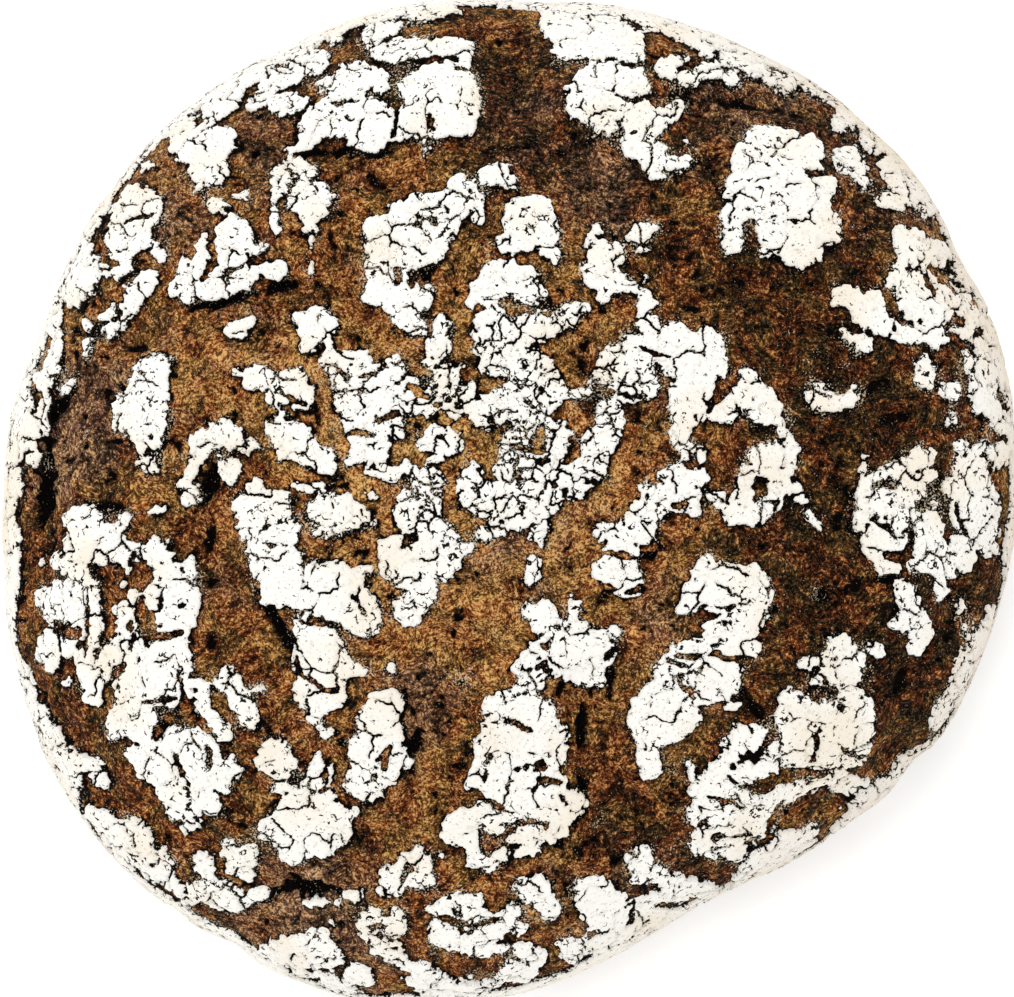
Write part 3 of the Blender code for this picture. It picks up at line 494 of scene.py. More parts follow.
# Splits in the plates, where the skin tore late: place, half-length,
# half-width, and heading in degrees.
SPLITS = [
    (-72.5, 64, 5, 1.2, 95), (-73.5, 56, 4, 1.0, 50), (-77, 63, 4, 1.0, 75), (-91, 69, 4, 0.7, 20),
    (-98.5, 58.5, 3, 1.4, 0), (-97, 45, 4, 0.9, 40), (-27.5, 93.5, 4.5, 0.8, 80), (-39, 98.5, 4, 0.7, 0),
    (-18, 92.5, 4, 0.5, 105), (-20, 108.5, 5, 0.9, 5),
    (-36, 16.5, 4.5, 0.8, 5), (-28, 20.5, 2.5, 0.8, 40), (-33, 31.5, 4, 0.8, 28), (-40, 31, 2.5, 0.7, 110),
    (-52, 24.5, 4, 0.9, -20), (-27, 55, 2.5, 0.9, 60), (-7.5, 57, 4, 1.4, 45), (-22, 27, 3, 1.4, -30),
    (34, 98.8, 7, 0.9, -4), (45.5, 107, 3, 1.2, 10), (95.5, 48, 5.5, 1.6, -62), (104.5, 53, 4, 0.9, 100),
    (36.5, 36.5, 5, 0.8, -20),
    (6, 12.3, 4.5, 1.1, -8), (8.5, 47.3, 5, 0.9, 4), (77.5, 80.5, 3.5, 1.0, 0),
    (-64, -17, 3.5, 1.6, 90), (-61, -23.5, 3.5, 1.1, 100), (-52.5, -34, 4, 1.2, 100),
    (-50.5, -42, 4, 1.1, 110), (-45, -46, 5, 0.8, -25), (-36.5, -26, 4, 0.8, -50),
    (-84, -34, 4.5, 1.2, 12), (-103.3, -30, 9, 0.9, 88), (-96, -43, 4, 1.1, 60), (-86, -49.5, 5, 0.9, 8),
    (-80, -46, 3.5, 0.8, 100), (-80.5, -66, 5, 0.9, 115), (-73.5, -64, 3, 0.9, 100),
    (-74, -56, 5, 1.0, -55), (-29.5, -64, 4.5, 1.2, 70), (-45, -69.5, 3.5, 0.9, 85),
    (-24.5, -93, 3.5, 0.8, 60), (-9, -63, 7, 1.1, 78), (-3.5, -75, 4.5, 1.1, -25), (3.5, -56, 4.5, 0.8, -15),
    (-8, -91.5, 4, 0.9, 5), (-32, -105, 3, 0.9, 0), (-28, -108, 4, 0.8, -20), (-13, -104, 4, 1.0, -15),
    (-5, -104.5, 4, 1.0, 10), (10.5, -69, 3.5, 1.1, -15), (6.5, -80.3, 5, 0.8, 0), (25.5, -38, 2.2, 1, 60),
    (54, -38.8, 4, 1.1, 5), (45, -38.8, 4, 1.0, 8), (44, -46.5, 4, 0.8, -50), (76.5, -61, 5.5, 0.8, 82),
    (89, -41.5, 4, 1.6, 70), (85.5, -62.5, 4, 0.8, -20), (55, -74.8, 5, 0.9, -15), (66, -78, 5, 1.2, 70),
    (57, -83.5, 4, 0.7, 0), (28, -13.3, 4.5, 0.9, -8), (31.5, -22.3, 3, 1.1, 20), (97, -14, 4.5, 1.9, 12),
    (100, -8, 6, 0.9, 95), (94, -8, 4, 1.0, -40), (112.5, -5, 5, 0.9, -70), (65.5, -3, 3.5, 0.9, 42),
    (43, -1.5, 2.5, 1.1, 10), (42, -99.8, 6, 1.0, 4), (71, -88.3, 6, 0.7, 24), (94, 4, 4, 0.9, 15),
]

# Hollows in the crust: place, half-length, half-width, heading in degrees,
# and depth.
HOLLOWS = [
    (-74, 4, 6.5, 2.2, 70, 2.6), (-73, -10, 5, 1.6, 80, 1.6), (-56, -33, 7, 2.4, -60, 2.6),
    (-73, -34.5, 2.4, 1.6, 60, 1.4), (-60, -28, 4, 2, -50, 1.8), (-26, -53, 6.5, 2.2, 80, 2.2),
    (-22, -60, 4, 1.8, 60, 1.6), (-19, 57, 4, 2, 60, 1.8), (18, -75, 7, 1.8, 80, 2.0),
    (-114, 3, 12, 2.2, 85, 2.6), (-111, 22, 7, 2, 55, 2.0), (36, -13, 3.5, 2, 30, 1.6),
    (-69, 49, 10, 1.6, 12, 1.8), (-55, 53, 5, 1.4, 30, 1.6), (-38, 86, 13, 1.4, 3, 1.6),
    (-62, 84, 2.2, 5, 0, 1.4), (19, -56, 6, 1.6, 85, 1.8), (-92, 38, 4, 1.6, 10, 1.6),
    (-98, 6, 2.2, 2, 0, 1.6), (-98, -2, 6, 1.8, -10, 1.6), (83, 2, 3, 6, 20, 1.6),
    (86, -22, 12, 1.5, 15, 1.2), (104, 3, 4, 3, 0, 1.8), (96, 20, 5, 2.5, 20, 1.4),
    (41, 60, 3, 5, 10, 1.6), (78, 5, 1.6, 6, 0, 1.4), (-40, -62, 2, 6, 15, 1.8),
    (-50, -97, 12, 1.5, 0, 1.6), (-12, -29, 1.2, 1.4, 0, 1.0), (-24, -28, 2.5, 1.5, 30, 1.2),
    (14, -46, 3, 1.6, 60, 1.4), (26, -45, 5, 1.6, 85, 1.4), (60, -50, 5, 1.6, -60, 1.4),
    (98, -45, 5, 2, 70, 1.4), (57, 98, 7, 1.4, -15, 1.4), (0, 87, 6, 1.2, 0, 1.2),
]

# Patches of paler or darker crust: place, reach, and how much darker.
BAKES = [
    (0, 12, 42, -0.30), (-14, -34, 16, -0.22), (-24, -76, 16, -0.06), (-55, 22, 30, -0.14),
    (-80, 20, 25, -0.06), (36, -36, 14, -0.10), (-70, 66, 18, -0.10), (-46, 60, 14, -0.02),
    (60, 44, 26, 0.14), (78, 20, 26, 0.18), (84, -20, 28, 0.22), (46, 88, 20, 0.16),
    (96, 30, 18, 0.12), (104, -44, 18, 0.24), (0, 102, 14, 0.24), (8, 84, 12, 0.16),
    (70, -48, 18, 0.12), (24, -66, 14, 0.10), (-30, -104, 26, 0.04), (-100, -50, 22, 0.02),
    (84, 62, 18, 0.14), (54, -88, 20, 0.12),
    (-36, -11, 9, -0.40), (-22, 17, 8, -0.20), (-51, -35, 7, -0.14), (-38, -50, 8, -0.18),
    (-42, -67, 8, -0.20), (-56, -78, 6, -0.12), (-51, -96, 7, -0.16), (12, -96, 8, -0.20),
    (18, -50, 9, -0.20), (25, -62, 7, -0.16), (-66, 43, 12, -0.12), (-88, 55, 6, -0.16),
    (-106, 41, 8, -0.14), (-117, 8, 10, -0.18), (-75, 20, 6, -0.12), (-48, 68, 6, -0.16),
    (-46, 28, 7, -0.12), (-78, -33, 9, -0.12), (10, 57, 8, -0.14), (20, 38, 7, -0.12),
    (53, 80, 8, -0.14), (24, -22, 5, -0.14), (-28, -24, 5, -0.12), (38, -9, 5, -0.14),
    (60, 3, 8, -0.14), (-84, 85, 8, -0.12), (95, -28, 6, -0.12), (-10, -88, 7, -0.10),
    (-32, -112, 8, -0.12), (-84, -55, 5, -0.12), (-27, 103, 7, 0.6), (104, 0, 8, 0.6),
    (119, -22, 12, 0.16), (-8, -25, 8, 0.14), (-22, -30, 7, 0.12), (-104, 0, 6, 0.20),
    (-68, -20, 6, 0.16), (-45, 56, 6, 0.18), (-41, 74, 6, 0.14), (24, 74, 7, 0.14),
    (36, 72, 8, 0.12), (50, 62, 7, 0.18), (74, 33, 5, 0.14), (78, 92, 10, 0.14),
    (-26, -44, 4, 0.18), (30, -34, 6, 0.14), (-78, -85, 8, 0.16), (-96, -70, 8, 0.14),
    (-110, -54, 8, 0.16), (-76, -55, 4, 0.20), (-65, -43, 6, 0.12), (66, -58, 5, 0.14),
    (40, -87, 6, 0.16), (54, -93, 5, 0.16), (94, -55, 6, 0.12), (17, 108, 5, 0.14),
    (13, 66, 4, 0.16), (-65, 46, 5, 0.20), (-76, 46, 4, 0.12), (24, 45, 5, 0.10), (-103, 0, 5, 0.10),
    (67, -57, 4, 0.14), (35, -68, 4, 0.12), (-52, -96, 6, -0.20), (-20, 19, 6, -0.20), (-26, -9, 4, -0.14),
    (-114, 6, 6, -0.14), (-88, 52, 6, -0.16), (-46, 68, 5, -0.12), (-50, -36, 5, -0.12),
]
BAKE_LEVEL = 0.475         # of the crust away from them

# Patches of ashen, purplish crust: place, reach, and how ashen.
ASHES = [
    (-112, 14, 18, 0.9), (-98, 32, 10, 0.5), (-86, 72, 14, 0.6), (-58, 88, 14, 0.5),
    (23, 74, 12, 0.7), (8, 95, 16, 0.6), (-21, -50, 10, 0.7), (-54, -98, 16, 0.6),
    (-40, -112, 18, 0.6), (-66, 50, 10, 0.4), (4, -10, 14, 0.4), (40, -30, 12, 0.4),
    (60, 98, 20, 0.6), (100, 84, 20, 0.6), (28, -104, 20, 0.5), (-70, -20, 10, 0.4),
]

# Colours of the finishes, as sRGB. First the browns of the crust, each with its
# level from 0 at the palest to 1 where it is burnt and where painted shade is
# deepest: where the dough tore late, where it dried out, and where it is ashen.
# The two ends come first, because a new ramp has two stops.
RED_BROWNS = [
    (0.0, "#d09a5b"), (1.0, "#0b0502"), (0.15, "#b87840"), (0.32, "#9a592a"),
    (0.48, "#793d1b"), (0.64, "#54240e"), (0.80, "#311407"),
]
OLIVE_BROWNS = [
    (0.0, "#d0a160"), (1.0, "#090703"), (0.15, "#b37f42"), (0.32, "#8c5d2a"),
    (0.48, "#69441f"), (0.64, "#462e14"), (0.80, "#291d0e"),
]
ASHEN_BROWNS = [
    (0.0, "#c09e82"), (1.0, "#080605"), (0.15, "#a17f68"), (0.32, "#806050"),
    (0.48, "#60463a"), (0.64, "#3f2e27"), (0.80, "#231a17"),
]
# Black of burnt pits, and of the painted shade in hollows and by the plates.
BURNT_AND_SHADE = "#060302"
# Char of burnt flour edges, hairlines and pits, and the painted shade on edges turned from the light.
CHAR_AND_SHADE = "#17100a"
BRAN = "#e6b674"
FLOUR_DUST = "#e6d5b8"
WHITE_FLOUR = "#f9f7f1"
CREAM_FLOUR = "#f3e9d8"
FLOUR_SHADE = "#cfc4b2"
# The grey of painted shade on the flour's lower side walls.
SIDE_SHADE_FLOUR = "#d3c5b4"
PAPER = "#fbfbfa"


# Shapes of number

def smoothstep(low, high, value):
    """A soft step from 0 at the low value to 1 at the high one."""
    share = np.clip((value - low) / (high - low), 0.0, 1.0)
    return share * share * (3.0 - 2.0 * share)


def humps(places, size, seed):
    """Smooth random heights from -1 to 1, with one hump or so in each size."""
    heights = np.random.default_rng(seed).uniform(-1.0, 1.0, (64, 64, 64))
    spot = (places / size + 640.0).T
    corner = np.floor(spot).astype(int)
    share = spot - corner
    share = share * share * (3.0 - 2.0 * share)
    weights = np.stack([1.0 - share, share])
    total = np.zeros(len(places))
    for step in np.ndindex(2, 2, 2):
        x, y, z = (corner + np.array(step)[:, None]) % 64
        weight = weights[step[0], 0] * weights[step[1], 1] * weights[step[2], 2]
        total += weight * heights[x, y, z]
    return total


def rough(places, size, seed, octaves):
    """A random pattern: humps with smaller humps on them."""
    total = np.zeros(len(places))
    for octave in range(octaves):
        total += humps(places, size / 2 ** octave, seed + octave) / 2 ** octave
    return total


def stray(places, size, seeds, octaves):
    """A random step sideways for each place, from patterns with two seeds."""
    return np.stack([rough(places, size, seed, octaves) for seed in seeds], axis=1)


def around(places):
    """The radius and the heading in degrees of each place, from the middle."""
    x, y = (places[:, :2] - ROUND_MIDDLE).T
    return np.hypot(x, y), np.degrees(np.arctan2(y, x)) % 360.0


def lobe_depths(spots, lobes):
    """How far each spot lies inside the lobes: about the distance to their
    edge, less than nothing outside. A lobe is an ellipse: place, half-length,
    half-width, and heading in degrees. Lobes that touch melt together."""
    total = np.full(len(spots), 1e-9)
    order = np.argsort(spots[:, 0])
    sorted_x = spots[order, 0]
    for x, y, half_length, half_width, *heading in lobes:
        reach = max(half_length, half_width) + LOBE_MARGIN
        first, last = np.searchsorted(sorted_x, (x - reach, x + reach))
        near = order[first:last]
        near = near[np.abs(spots[near, 1] - y) < reach]
        away = spots[near] - (x, y)
        turn = math.radians(heading[0]) if heading else 0.0
        along = (away @ (math.cos(turn), math.sin(turn))) / half_length
        across = (away @ (-math.sin(turn), math.cos(turn))) / half_width
        share = np.hypot(along, across) + 1e-6
        slope = np.hypot(along / half_length, across / half_width) + 1e-6
        depth = np.minimum(share * (1.0 - share) / slope, min(half_length, half_width))
        total[near] += np.exp(depth / MERGE)
    return MERGE * np.log(total)


# Meshes

def read(items, name, width, kind=float):
    """One property of a mesh's vertices, edges or faces, as a table."""
    values = np.empty(width * len(items), dtype=kind)
    items.foreach_get(name, values)
    return values.reshape(-1, width)


def places_of(mesh):
    """The mesh's vertices, in millimetres."""
    return read(mesh.vertices, "co", 3) / MM


def put_places(mesh, places):
    """Move the mesh's vertices to places in millimetres."""
    mesh.vertices.foreach_set("co", (places * MM).ravel())
    mesh.update()


def corners_of(mesh):
    """The three vertices of every triangle."""
    return read(mesh.polygons, "vertices", 3, np.int32)


def opened(mesh):
    """The mesh as a bmesh, with its faces ready to be called by number."""
    bm = bmesh.new()
    bm.from_mesh(mesh)
    bm.faces.ensure_lookup_table()
    return bm


def closed(bm, name):
    """The bmesh as a mesh."""
    mesh = bpy.data.meshes.new(name)
    bm.to_mesh(mesh)
    bm.free()
    return mesh


def drop_faces(bm, faces):
    bmesh.ops.delete(bm, geom=faces, context="FACES")


def refine(bm, cuts, smoothings):
    """Cut the triangles finer and smooth them, all but their open rim."""
    bmesh.ops.subdivide_edges(bm, edges=bm.edges[:], cuts=cuts, use_grid_fill=True)
    inner = [vert for vert in bm.verts if not vert.is_boundary]
    for _ in range(smoothings):
        bmesh.ops.smooth_vert(bm, verts=inner, factor=0.5, use_axis_x=True,
                              use_axis_y=True, use_axis_z=True)


def add_values(mesh, name, values):
    """Keep one number for each vertex on the mesh, for its material."""
    attribute = mesh.attributes.new(name, "FLOAT", "POINT")
    attribute.data.foreach_set("value", np.asarray(values, dtype=np.float32))


def piece(mesh, name, material):
    """A finished piece, which rides on the loaf's body."""
    mesh.materials.append(material)
    mesh.shade_smooth()
    made = bpy.data.objects.new(name, mesh)
    bpy.context.scene.collection.objects.link(made)
    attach(made, "root")
    return made


# The bare skin of the loaf

def bare_skin():
    """The loaf's crown and sides in fine even triangles, open at the base."""
    bm = opened(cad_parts["loaf"].data)
    bmesh.ops.remove_doubles(bm, verts=bm.verts, dist=0.01 * MM)
    drop_faces(bm, [face for face in bm.faces if max(v.co.z for v in face.verts) < BASE_DEPTH * MM])
    refine(bm, SKIN_CUTS, SKIN_SMOOTHINGS)
    return closed(bm, "bare skin")


def outline_of(places):
    """The loaf's greatest radius in each degree, from the round's middle."""
    radius, degree = around(places)
    widest = np.zeros(360)
    np.maximum.at(widest, degree.astype(int), radius)
    return widest


def unrolled(places):
    """The places laid out flat, so that the side walls don't fold under the
    crown: their direction stays, and their radius becomes the way down to
    them over the crown."""
    radius, degree = around(places)
    widest = np.interp(degree, np.arange(360) + 0.5, outline, period=360.0)
    over = np.hypot(radius, HEIGHT - places[:, 2])
    under = np.hypot(widest, HEIGHT - WIDEST_HEIGHT) + 1.15 * (WIDEST_HEIGHT - places[:, 2])
    way = np.where(places[:, 2] > WIDEST_HEIGHT, over, under)
    return (places[:, :2] - ROUND_MIDDLE) * (way / np.maximum(radius, 1e-6))[:, None]


# The flour's plates

def flour_cover(places):
    """How far inside a plate of flour each place lies, less than nothing where
    the crust is bare, and the number of its group of plates."""
    spots = places[:, :2] - ROUND_MIDDLE + EDGE_REACH * stray(places, *EDGE_STRAY)
    spots = spots + FINE_EDGE_REACH * stray(places, *FINE_EDGE_STRAY)
    depth = np.full(len(places), COVER_LIMITS[0])
    group = np.zeros(len(places), dtype=int)
    for number, lobes in enumerate(FLOUR.values()):
        inside = lobe_depths(spots, lobes)
        group[inside > depth] = number
        depth = np.maximum(depth, inside)
    depth = np.minimum(depth, SPLIT_RIM - SPLIT_SLOPE * lobe_depths(spots, SPLITS))
    crumbly = smoothstep(-0.2, 0.7, rough(places, *CRUMBLE))
    ragged = 0.5 * rough(places, *RAGGED) + (0.6 + 0.5 * crumbly) * rough(places, *FINE_RAGGED)
    holes = HOLE_DEPTH * crumbly * smoothstep(0.82, 1.10, rough(places, *HOLES))

    # The side's own scatter, in patches that are wider than they are high.
    height = places[:, 2]
    foot = smoothstep(RIM_HEIGHT, 0.0, height)
    wall = rough(places * (1.0, 1.0, 1.7), *SIDE_SCATTER) + SIDE_SHARE - FOOT_THINNING * foot ** 2
    wall = 3.0 * wall - 5.0 * smoothstep(RIM_HEIGHT, RIM_HEIGHT + RIM_FADE, height)
    depth = np.where(height < WIDEST_HEIGHT + 1.0, COVER_LIMITS[0], depth)
    quarter = (np.degrees(np.arctan2(spots[:, 1], spots[:, 0])) // 90.0).astype(int) % 4
    group = np.where(wall > depth, len(FLOUR) + quarter, group)
    return np.clip(np.maximum(depth, wall), *COVER_LIMITS) + ragged + COVER_BIAS - holes, group


def wandered(places):
    """The unrolled places, strayed so that the cracks' lines are ragged."""
    flat = unrolled(places) + CRACK_REACH * stray(places, *CRACK_STRAY)
    return flat + FINE_CRACK_REACH * stray(places, *FINE_CRACK_STRAY)


def clump_seeds(size, number):
    """The jittered seeds of a honeycomb, as a table that neighbours() reads."""
    jitter = np.random.default_rng(number).uniform(0.1, 0.9, (CLUMP_COLUMNS ** 2, 2))
    return {"size": size, "jitter": jitter}


def neighbours(spots, seeds):
    """The number and the seed of each of the nine clumps around the spots."""
    corner = np.floor(spots / seeds["size"]).astype(int)
    for step in np.ndindex(3, 3):
        cell = corner + step - 1
        wrapped = cell % CLUMP_COLUMNS
        number = wrapped[:, 0] * CLUMP_COLUMNS + wrapped[:, 1]
        yield number, (cell + seeds["jitter"][number]) * seeds["size"]


def own_clumps(spots, seeds):
    """The number and the seed of the clump that each spot lies in."""
    nearest = np.full(len(spots), np.inf)
    own = np.zeros(len(spots), dtype=int)
    middles = np.zeros((len(spots), 2))
    for number, seed in neighbours(spots, seeds):
        away = ((spots - seed) ** 2).sum(axis=1)
        closer = away < nearest
        nearest[closer] = away[closer]
        own[closer] = number[closer]
        middles[closer] = seed[closer]
    return own, middles


def way_to_line(spots, one, other):
    """The distance of each spot to the line midway between two seeds."""
    gap = ((spots - other) ** 2).sum(axis=1) - ((spots - one) ** 2).sum(axis=1)
    return gap / (2.0 * np.sqrt(((one - other) ** 2).sum(axis=1)) + 1e-9)


def openness(one, other, places, share):
    """How open the crack between two clumps is, from 0 to 1. Their numbers
    settle it for the whole crack, and humps along it for each part."""
    step, turns = CRACK_PRIMES
    chance = (one * step + other * step) % turns / turns
    crack = share + 1.6 * (chance - 0.5) + 1.1 * rough(places, *ALONG_CRACK)
    return np.where(one == other, 0.0, np.clip(crack, 0.0, 1.0))


def crack_falls(spots, places, seeds, share):
    """How deep the cracks are at each spot, from 0 to 1."""
    own, middles = own_clumps(spots, seeds)
    fall = np.zeros(len(spots))
    for number, seed in neighbours(spots, seeds):
        slope = np.clip(1.0 - way_to_line(spots, middles, seed) / CRACK_WIDTH, 0.0, 1.0)
        slope[own == number] = 0.0
        fall = np.maximum(fall, openness(own, number, places, share) * slope ** 2)
    return fall


def crazing(places):
    """How finely crazed the flour is at each place, from 0 to 1."""
    away = np.hypot(*(places[:, :2] - ROUND_MIDDLE - CRAZED_MIDDLE).T)
    middling = smoothstep(CRAZED_REACH[1], CRAZED_REACH[0], away)
    return np.clip(middling + 0.45 * rough(places, *CRAZING), 0.0, 1.0)


def honeycombs(places):
    """The two nets of cracks, the sound and the crazed flour's: their seeds,
    how open their cracks are, and which places are theirs."""
    crazed = crazing(places) > 0.5
    yield clump_seeds(CLUMP, 52), CRACK_SHARE, ~crazed
    yield clump_seeds(CENTRE_CLUMP, 53), CRAZED_SHARE, crazed


def snap_to_lines(mesh, places):
    """Move the vertices nearest to the plates' edges and to the cracks onto
    them. Returns the places, and how deep the line is under those moved."""
    cover, _ = flour_cover(places)
    a, b = read(mesh.edges, "vertices", 2, np.int32).T
    flat = wandered(places)
    movers, targets, steps, depths = [], [], [], []

    def take(a, b, share, depth, first_step):
        nearer_a = share < 0.5
        movers.append(np.where(nearer_a, a, b))
        targets.append(places[a] + (places[b] - places[a]) * share[:, None])
        steps.append(np.where(nearer_a, share, 1.0 - share) + first_step)
        depths.append(depth)

    for seeds, share, there in honeycombs(places):
        own, middles = own_clumps(flat, seeds)
        both = there[a] & there[b] & (own[a] != own[b]) & (cover[a] > 0.0) & (cover[b] > 0.0)
        one, two = a[both], b[both]
        depth = openness(own[one], own[two], 0.5 * (places[one] + places[two]), share)
        one, two, depth = (some[depth > LEAST_CRACK] for some in (one, two, depth))
        from_one = np.abs(way_to_line(flat[one], middles[one], middles[two]))
        from_two = np.abs(way_to_line(flat[two], middles[one], middles[two]))
        take(one, two, from_one / (from_one + from_two + 1e-9), depth, 1.0)
    edge = (cover[a] > 0.0) != (cover[b] > 0.0)
    one, two = a[edge], b[edge]
    take(one, two, cover[one] / (cover[one] - cover[two]), np.ones(len(one)), 0.0)

    # The shortest steps come last and hold, and edges go before cracks.
    mover, target, step, depth = map(np.concatenate, (movers, targets, steps, depths))
    order = np.argsort(-step)
    moved = places.copy()
    fall = np.full(len(places), -1.0)
    moved[mover[order]] = target[order]
    fall[mover[order]] = depth[order]
    return moved, fall


def floured_skin(skin):
    """The skin near the flour, in finer triangles."""
    cover, _ = flour_cover(places_of(skin))
    bm = opened(skin)
    bare = np.flatnonzero(~(cover > -FLOUR_MARGIN)[corners_of(skin)].any(axis=1))
    drop_faces(bm, [bm.faces[index] for index in bare])
    refine(bm, 1, 1)
    return closed(bm, "floured skin")


def plate_lift(places, fall):
    """How high the flour stands off the crust, with its own humps and pits."""
    top = PLATE_HEIGHT * (1.0 + 0.35 * rough(places, *PLATE_SWELL))
    top += 0.16 * rough(places, *PLATE_LUMPS) + 0.06 * rough(places, *PLATE_GRAIN)
    return top * (1.0 - fall) - EDGE_SINK * fall


def closed_plate(mesh, wanted, lifted, sunk):
    """The wanted triangles as a closed sheet, with its top at the lifted places
    and its underside at the sunk ones."""
    bm = opened(mesh)
    number = bm.verts.layers.int.new("number")
    for vert in bm.verts:
        vert[number] = vert.index
    drop_faces(bm, [bm.faces[index] for index in np.flatnonzero(~wanted)])
    under = bm.faces[:]
    made = bmesh.ops.extrude_face_region(bm, geom=under, use_keep_orig=True)["geom"]
    top = {item for item in made if isinstance(item, bmesh.types.BMVert)}
    for vert in bm.verts:
        vert.co = (lifted if vert in top else sunk)[vert[number]]
    bmesh.ops.reverse_faces(bm, faces=under)
    return closed(bm, "plate")


def make_flour(skin, material):
    """The plates of flour, a closed piece for each group of them."""
    mesh = floured_skin(skin)
    moved, fall = snap_to_lines(mesh, places_of(mesh))
    normals = read(mesh.vertices, "normal", 3)
    cover, group = flour_cover(moved)
    still = fall < 0.0
    edge = np.clip(1.0 - np.maximum(cover, 0.0) / EDGE_WIDTH, 0.0, 1.0) ** 2.5
    flat = wandered(moved)
    crack = np.zeros(len(moved))
    for seeds, share, there in honeycombs(moved):
        crack[there] = crack_falls(flat[there], moved[there], seeds, share)
    fall = np.where(still, np.maximum(edge, crack), fall)

    # Edges and cracks are burnt dark, and painted shade darkens the edges further on the side turned away
    # from the light.
    lee, _ = flour_cover(moved + LIT_EDGE * TO_LIGHT)
    at_edge = smoothstep(1.0, 0.2, cover)
    burn_and_shade = fall * (1.0 - 0.6 * at_edge * smoothstep(0.4, -0.5, lee))

    corners = corners_of(mesh)
    middle, _ = flour_cover(moved[corners].mean(axis=1))
    keep = ((cover > 0.0) | ~still)[corners].all(axis=1) & (middle > 0.0)
    lifted = moved + normals * plate_lift(moved, fall)[:, None]
    sunk = moved - normals * PLATE_DEPTH
    # Flour at the foot is pressed flat on the table.
    lifted[:, 2] = np.maximum(lifted[:, 2], 0.0)
    sunk[:, 2] = np.maximum(sunk[:, 2], 0.5 * PLATE_DEPTH)
    put_places(mesh, moved)
    add_values(mesh, "burn_and_shade", burn_and_shade)
    add_values(mesh, "crazed", np.maximum(crazing(moved), 0.9 * smoothstep(1.5, 0.3, cover)))
    for number, name in enumerate([*FLOUR, *SIDES]):
        wanted = keep & (group[corners[:, 0]] == number)
        part = closed_plate(mesh, wanted, lifted * MM, sunk * MM)
        piece(part, "flour_" + name, material)
    bpy.data.meshes.remove(mesh)


# The crust

def hollow_depths(spots):
    """How deep the hollows are at each spot on the crown."""
    deep = np.zeros(len(spots))
    for *lobe, depth in HOLLOWS:
        share = smoothstep(-0.6, 0.8 * lobe[3], lobe_depths(spots, [lobe]))
        deep = np.maximum(deep, depth * share)
    return deep


def pore_depths(flat, spacing, share, sizes, seed):
    """Round pores where bubbles broke the crust: one in some of the squares
    of a net laid over the unrolled skin."""
    dice = np.random.default_rng(seed)
    jitter = dice.uniform(0.2, 0.8, (PORE_COLUMNS ** 2, 2))
    radius = dice.uniform(*sizes, PORE_COLUMNS ** 2)
    there = dice.uniform(size=PORE_COLUMNS ** 2) < share
    corner = np.floor(flat / spacing).astype(int) + PORE_COLUMNS // 2
    deep = np.zeros(len(flat))
    for step in np.ndindex(3, 3):
        cell = corner + step - 1
        index = cell[:, 0] * PORE_COLUMNS + cell[:, 1]
        middle = (cell - PORE_COLUMNS // 2 + jitter[index]) * spacing
        away = np.sqrt(((flat - middle) ** 2).sum(axis=1)) / radius[index]
        pit = 0.8 * radius[index] * smoothstep(1.0, 0.35, away)
        deep = np.maximum(deep, np.where(there[index], pit, 0.0))
    return deep


def patch_levels(spots, patches, elsewhere):
    """How strong the patches are at each spot, from 0 to 1."""
    level = np.full(len(spots), elsewhere)
    for x, y, reach, more in patches:
        away = ((spots - (x, y)) ** 2).sum(axis=1)
        level += more * np.exp(-away / reach ** 2)
    return np.clip(level, 0.0, 1.0)


def make_crust(skin, material):
    """The loaf's crust, rough and pitted between the plates of flour."""
    places = places_of(skin)
    normals = read(skin.vertices, "normal", 3)
    crown = places[:, :2] - ROUND_MIDDLE
    cover, _ = flour_cover(places)
    shade, _ = flour_cover(places + RIM_SHADE * TO_LIGHT)
    bare = smoothstep(0.3, -0.3, cover)
    above = smoothstep(0.0, 4.0, places[:, 2])

    hollow = hollow_depths(crown + 1.2 * stray(places, *HOLLOW_STRAY))
    hollow = np.where(places[:, 2] > WIDEST_HEIGHT, hollow, 0.0)
    bent = unrolled(places) + 0.8 * stray(places, *PORE_STRAY)
    pores = np.maximum(*(pore_depths(bent, *net) for net in PORES))
    dip = DIP_DEPTH * smoothstep(0.50, 0.95, rough(places, *DIPS))
    folded = smoothstep(-0.2, 0.4, rough(places, *FOLDED))
    groove = GROOVE_DEPTH * smoothstep(0.16, 0.0, np.abs(rough(places, *FOLDS))) * folded
    # The gully round each plate is deeper on its side away from the light, and carries painted shadow into
    # the dark values below.
    rim = smoothstep(-1.0, -0.1, cover) * (0.2 + 0.8 * smoothstep(-0.4, 0.6, shade))
    grain = GRAIN_HEIGHT * rough(places, *GRAIN) + FINE_GRAIN_HEIGHT * rough(places, *FINE_GRAIN)
    move = bare * (grain - pores - dip - groove - RIM_DEPTH * rim - hollow)
    put_places(skin, places + normals * (move * above)[:, None])

    # What lies deep is darkened with painted shade: the hollows, pores, dips and grooves, the gully round
    # each plate, most on its side away from the light, and the crust under the plates.
    dark = hollow / 1.9 + pores / 0.75 + 0.4 * dip + 0.7 * groove + 0.6 * rim
    add_values(skin, "dark", np.maximum(np.clip(dark, 0.0, 1.0), 1.0 - bare))
    add_values(skin, "bake", patch_levels(crown, BAKES, BAKE_LEVEL))
    add_values(skin, "ash", patch_levels(crown, ASHES, 0.0))
    add_values(skin, "dust", smoothstep(-2.2, -0.2, cover))

    bm = opened(skin)
    foot = [edge for edge in bm.edges if edge.is_boundary]
    base = bmesh.ops.contextual_create(bm, geom=foot)["faces"]
    bmesh.ops.triangulate(bm, faces=base)
    bmesh.ops.recalc_face_normals(bm, faces=bm.faces[:])
    crust = piece(closed(bm, "crust"), "crust", material)
    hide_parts("loaf")


# Finishes. Grains, specks and pits are really finer than can be made out, so
# they are drawn as coarse as they need to be to show.

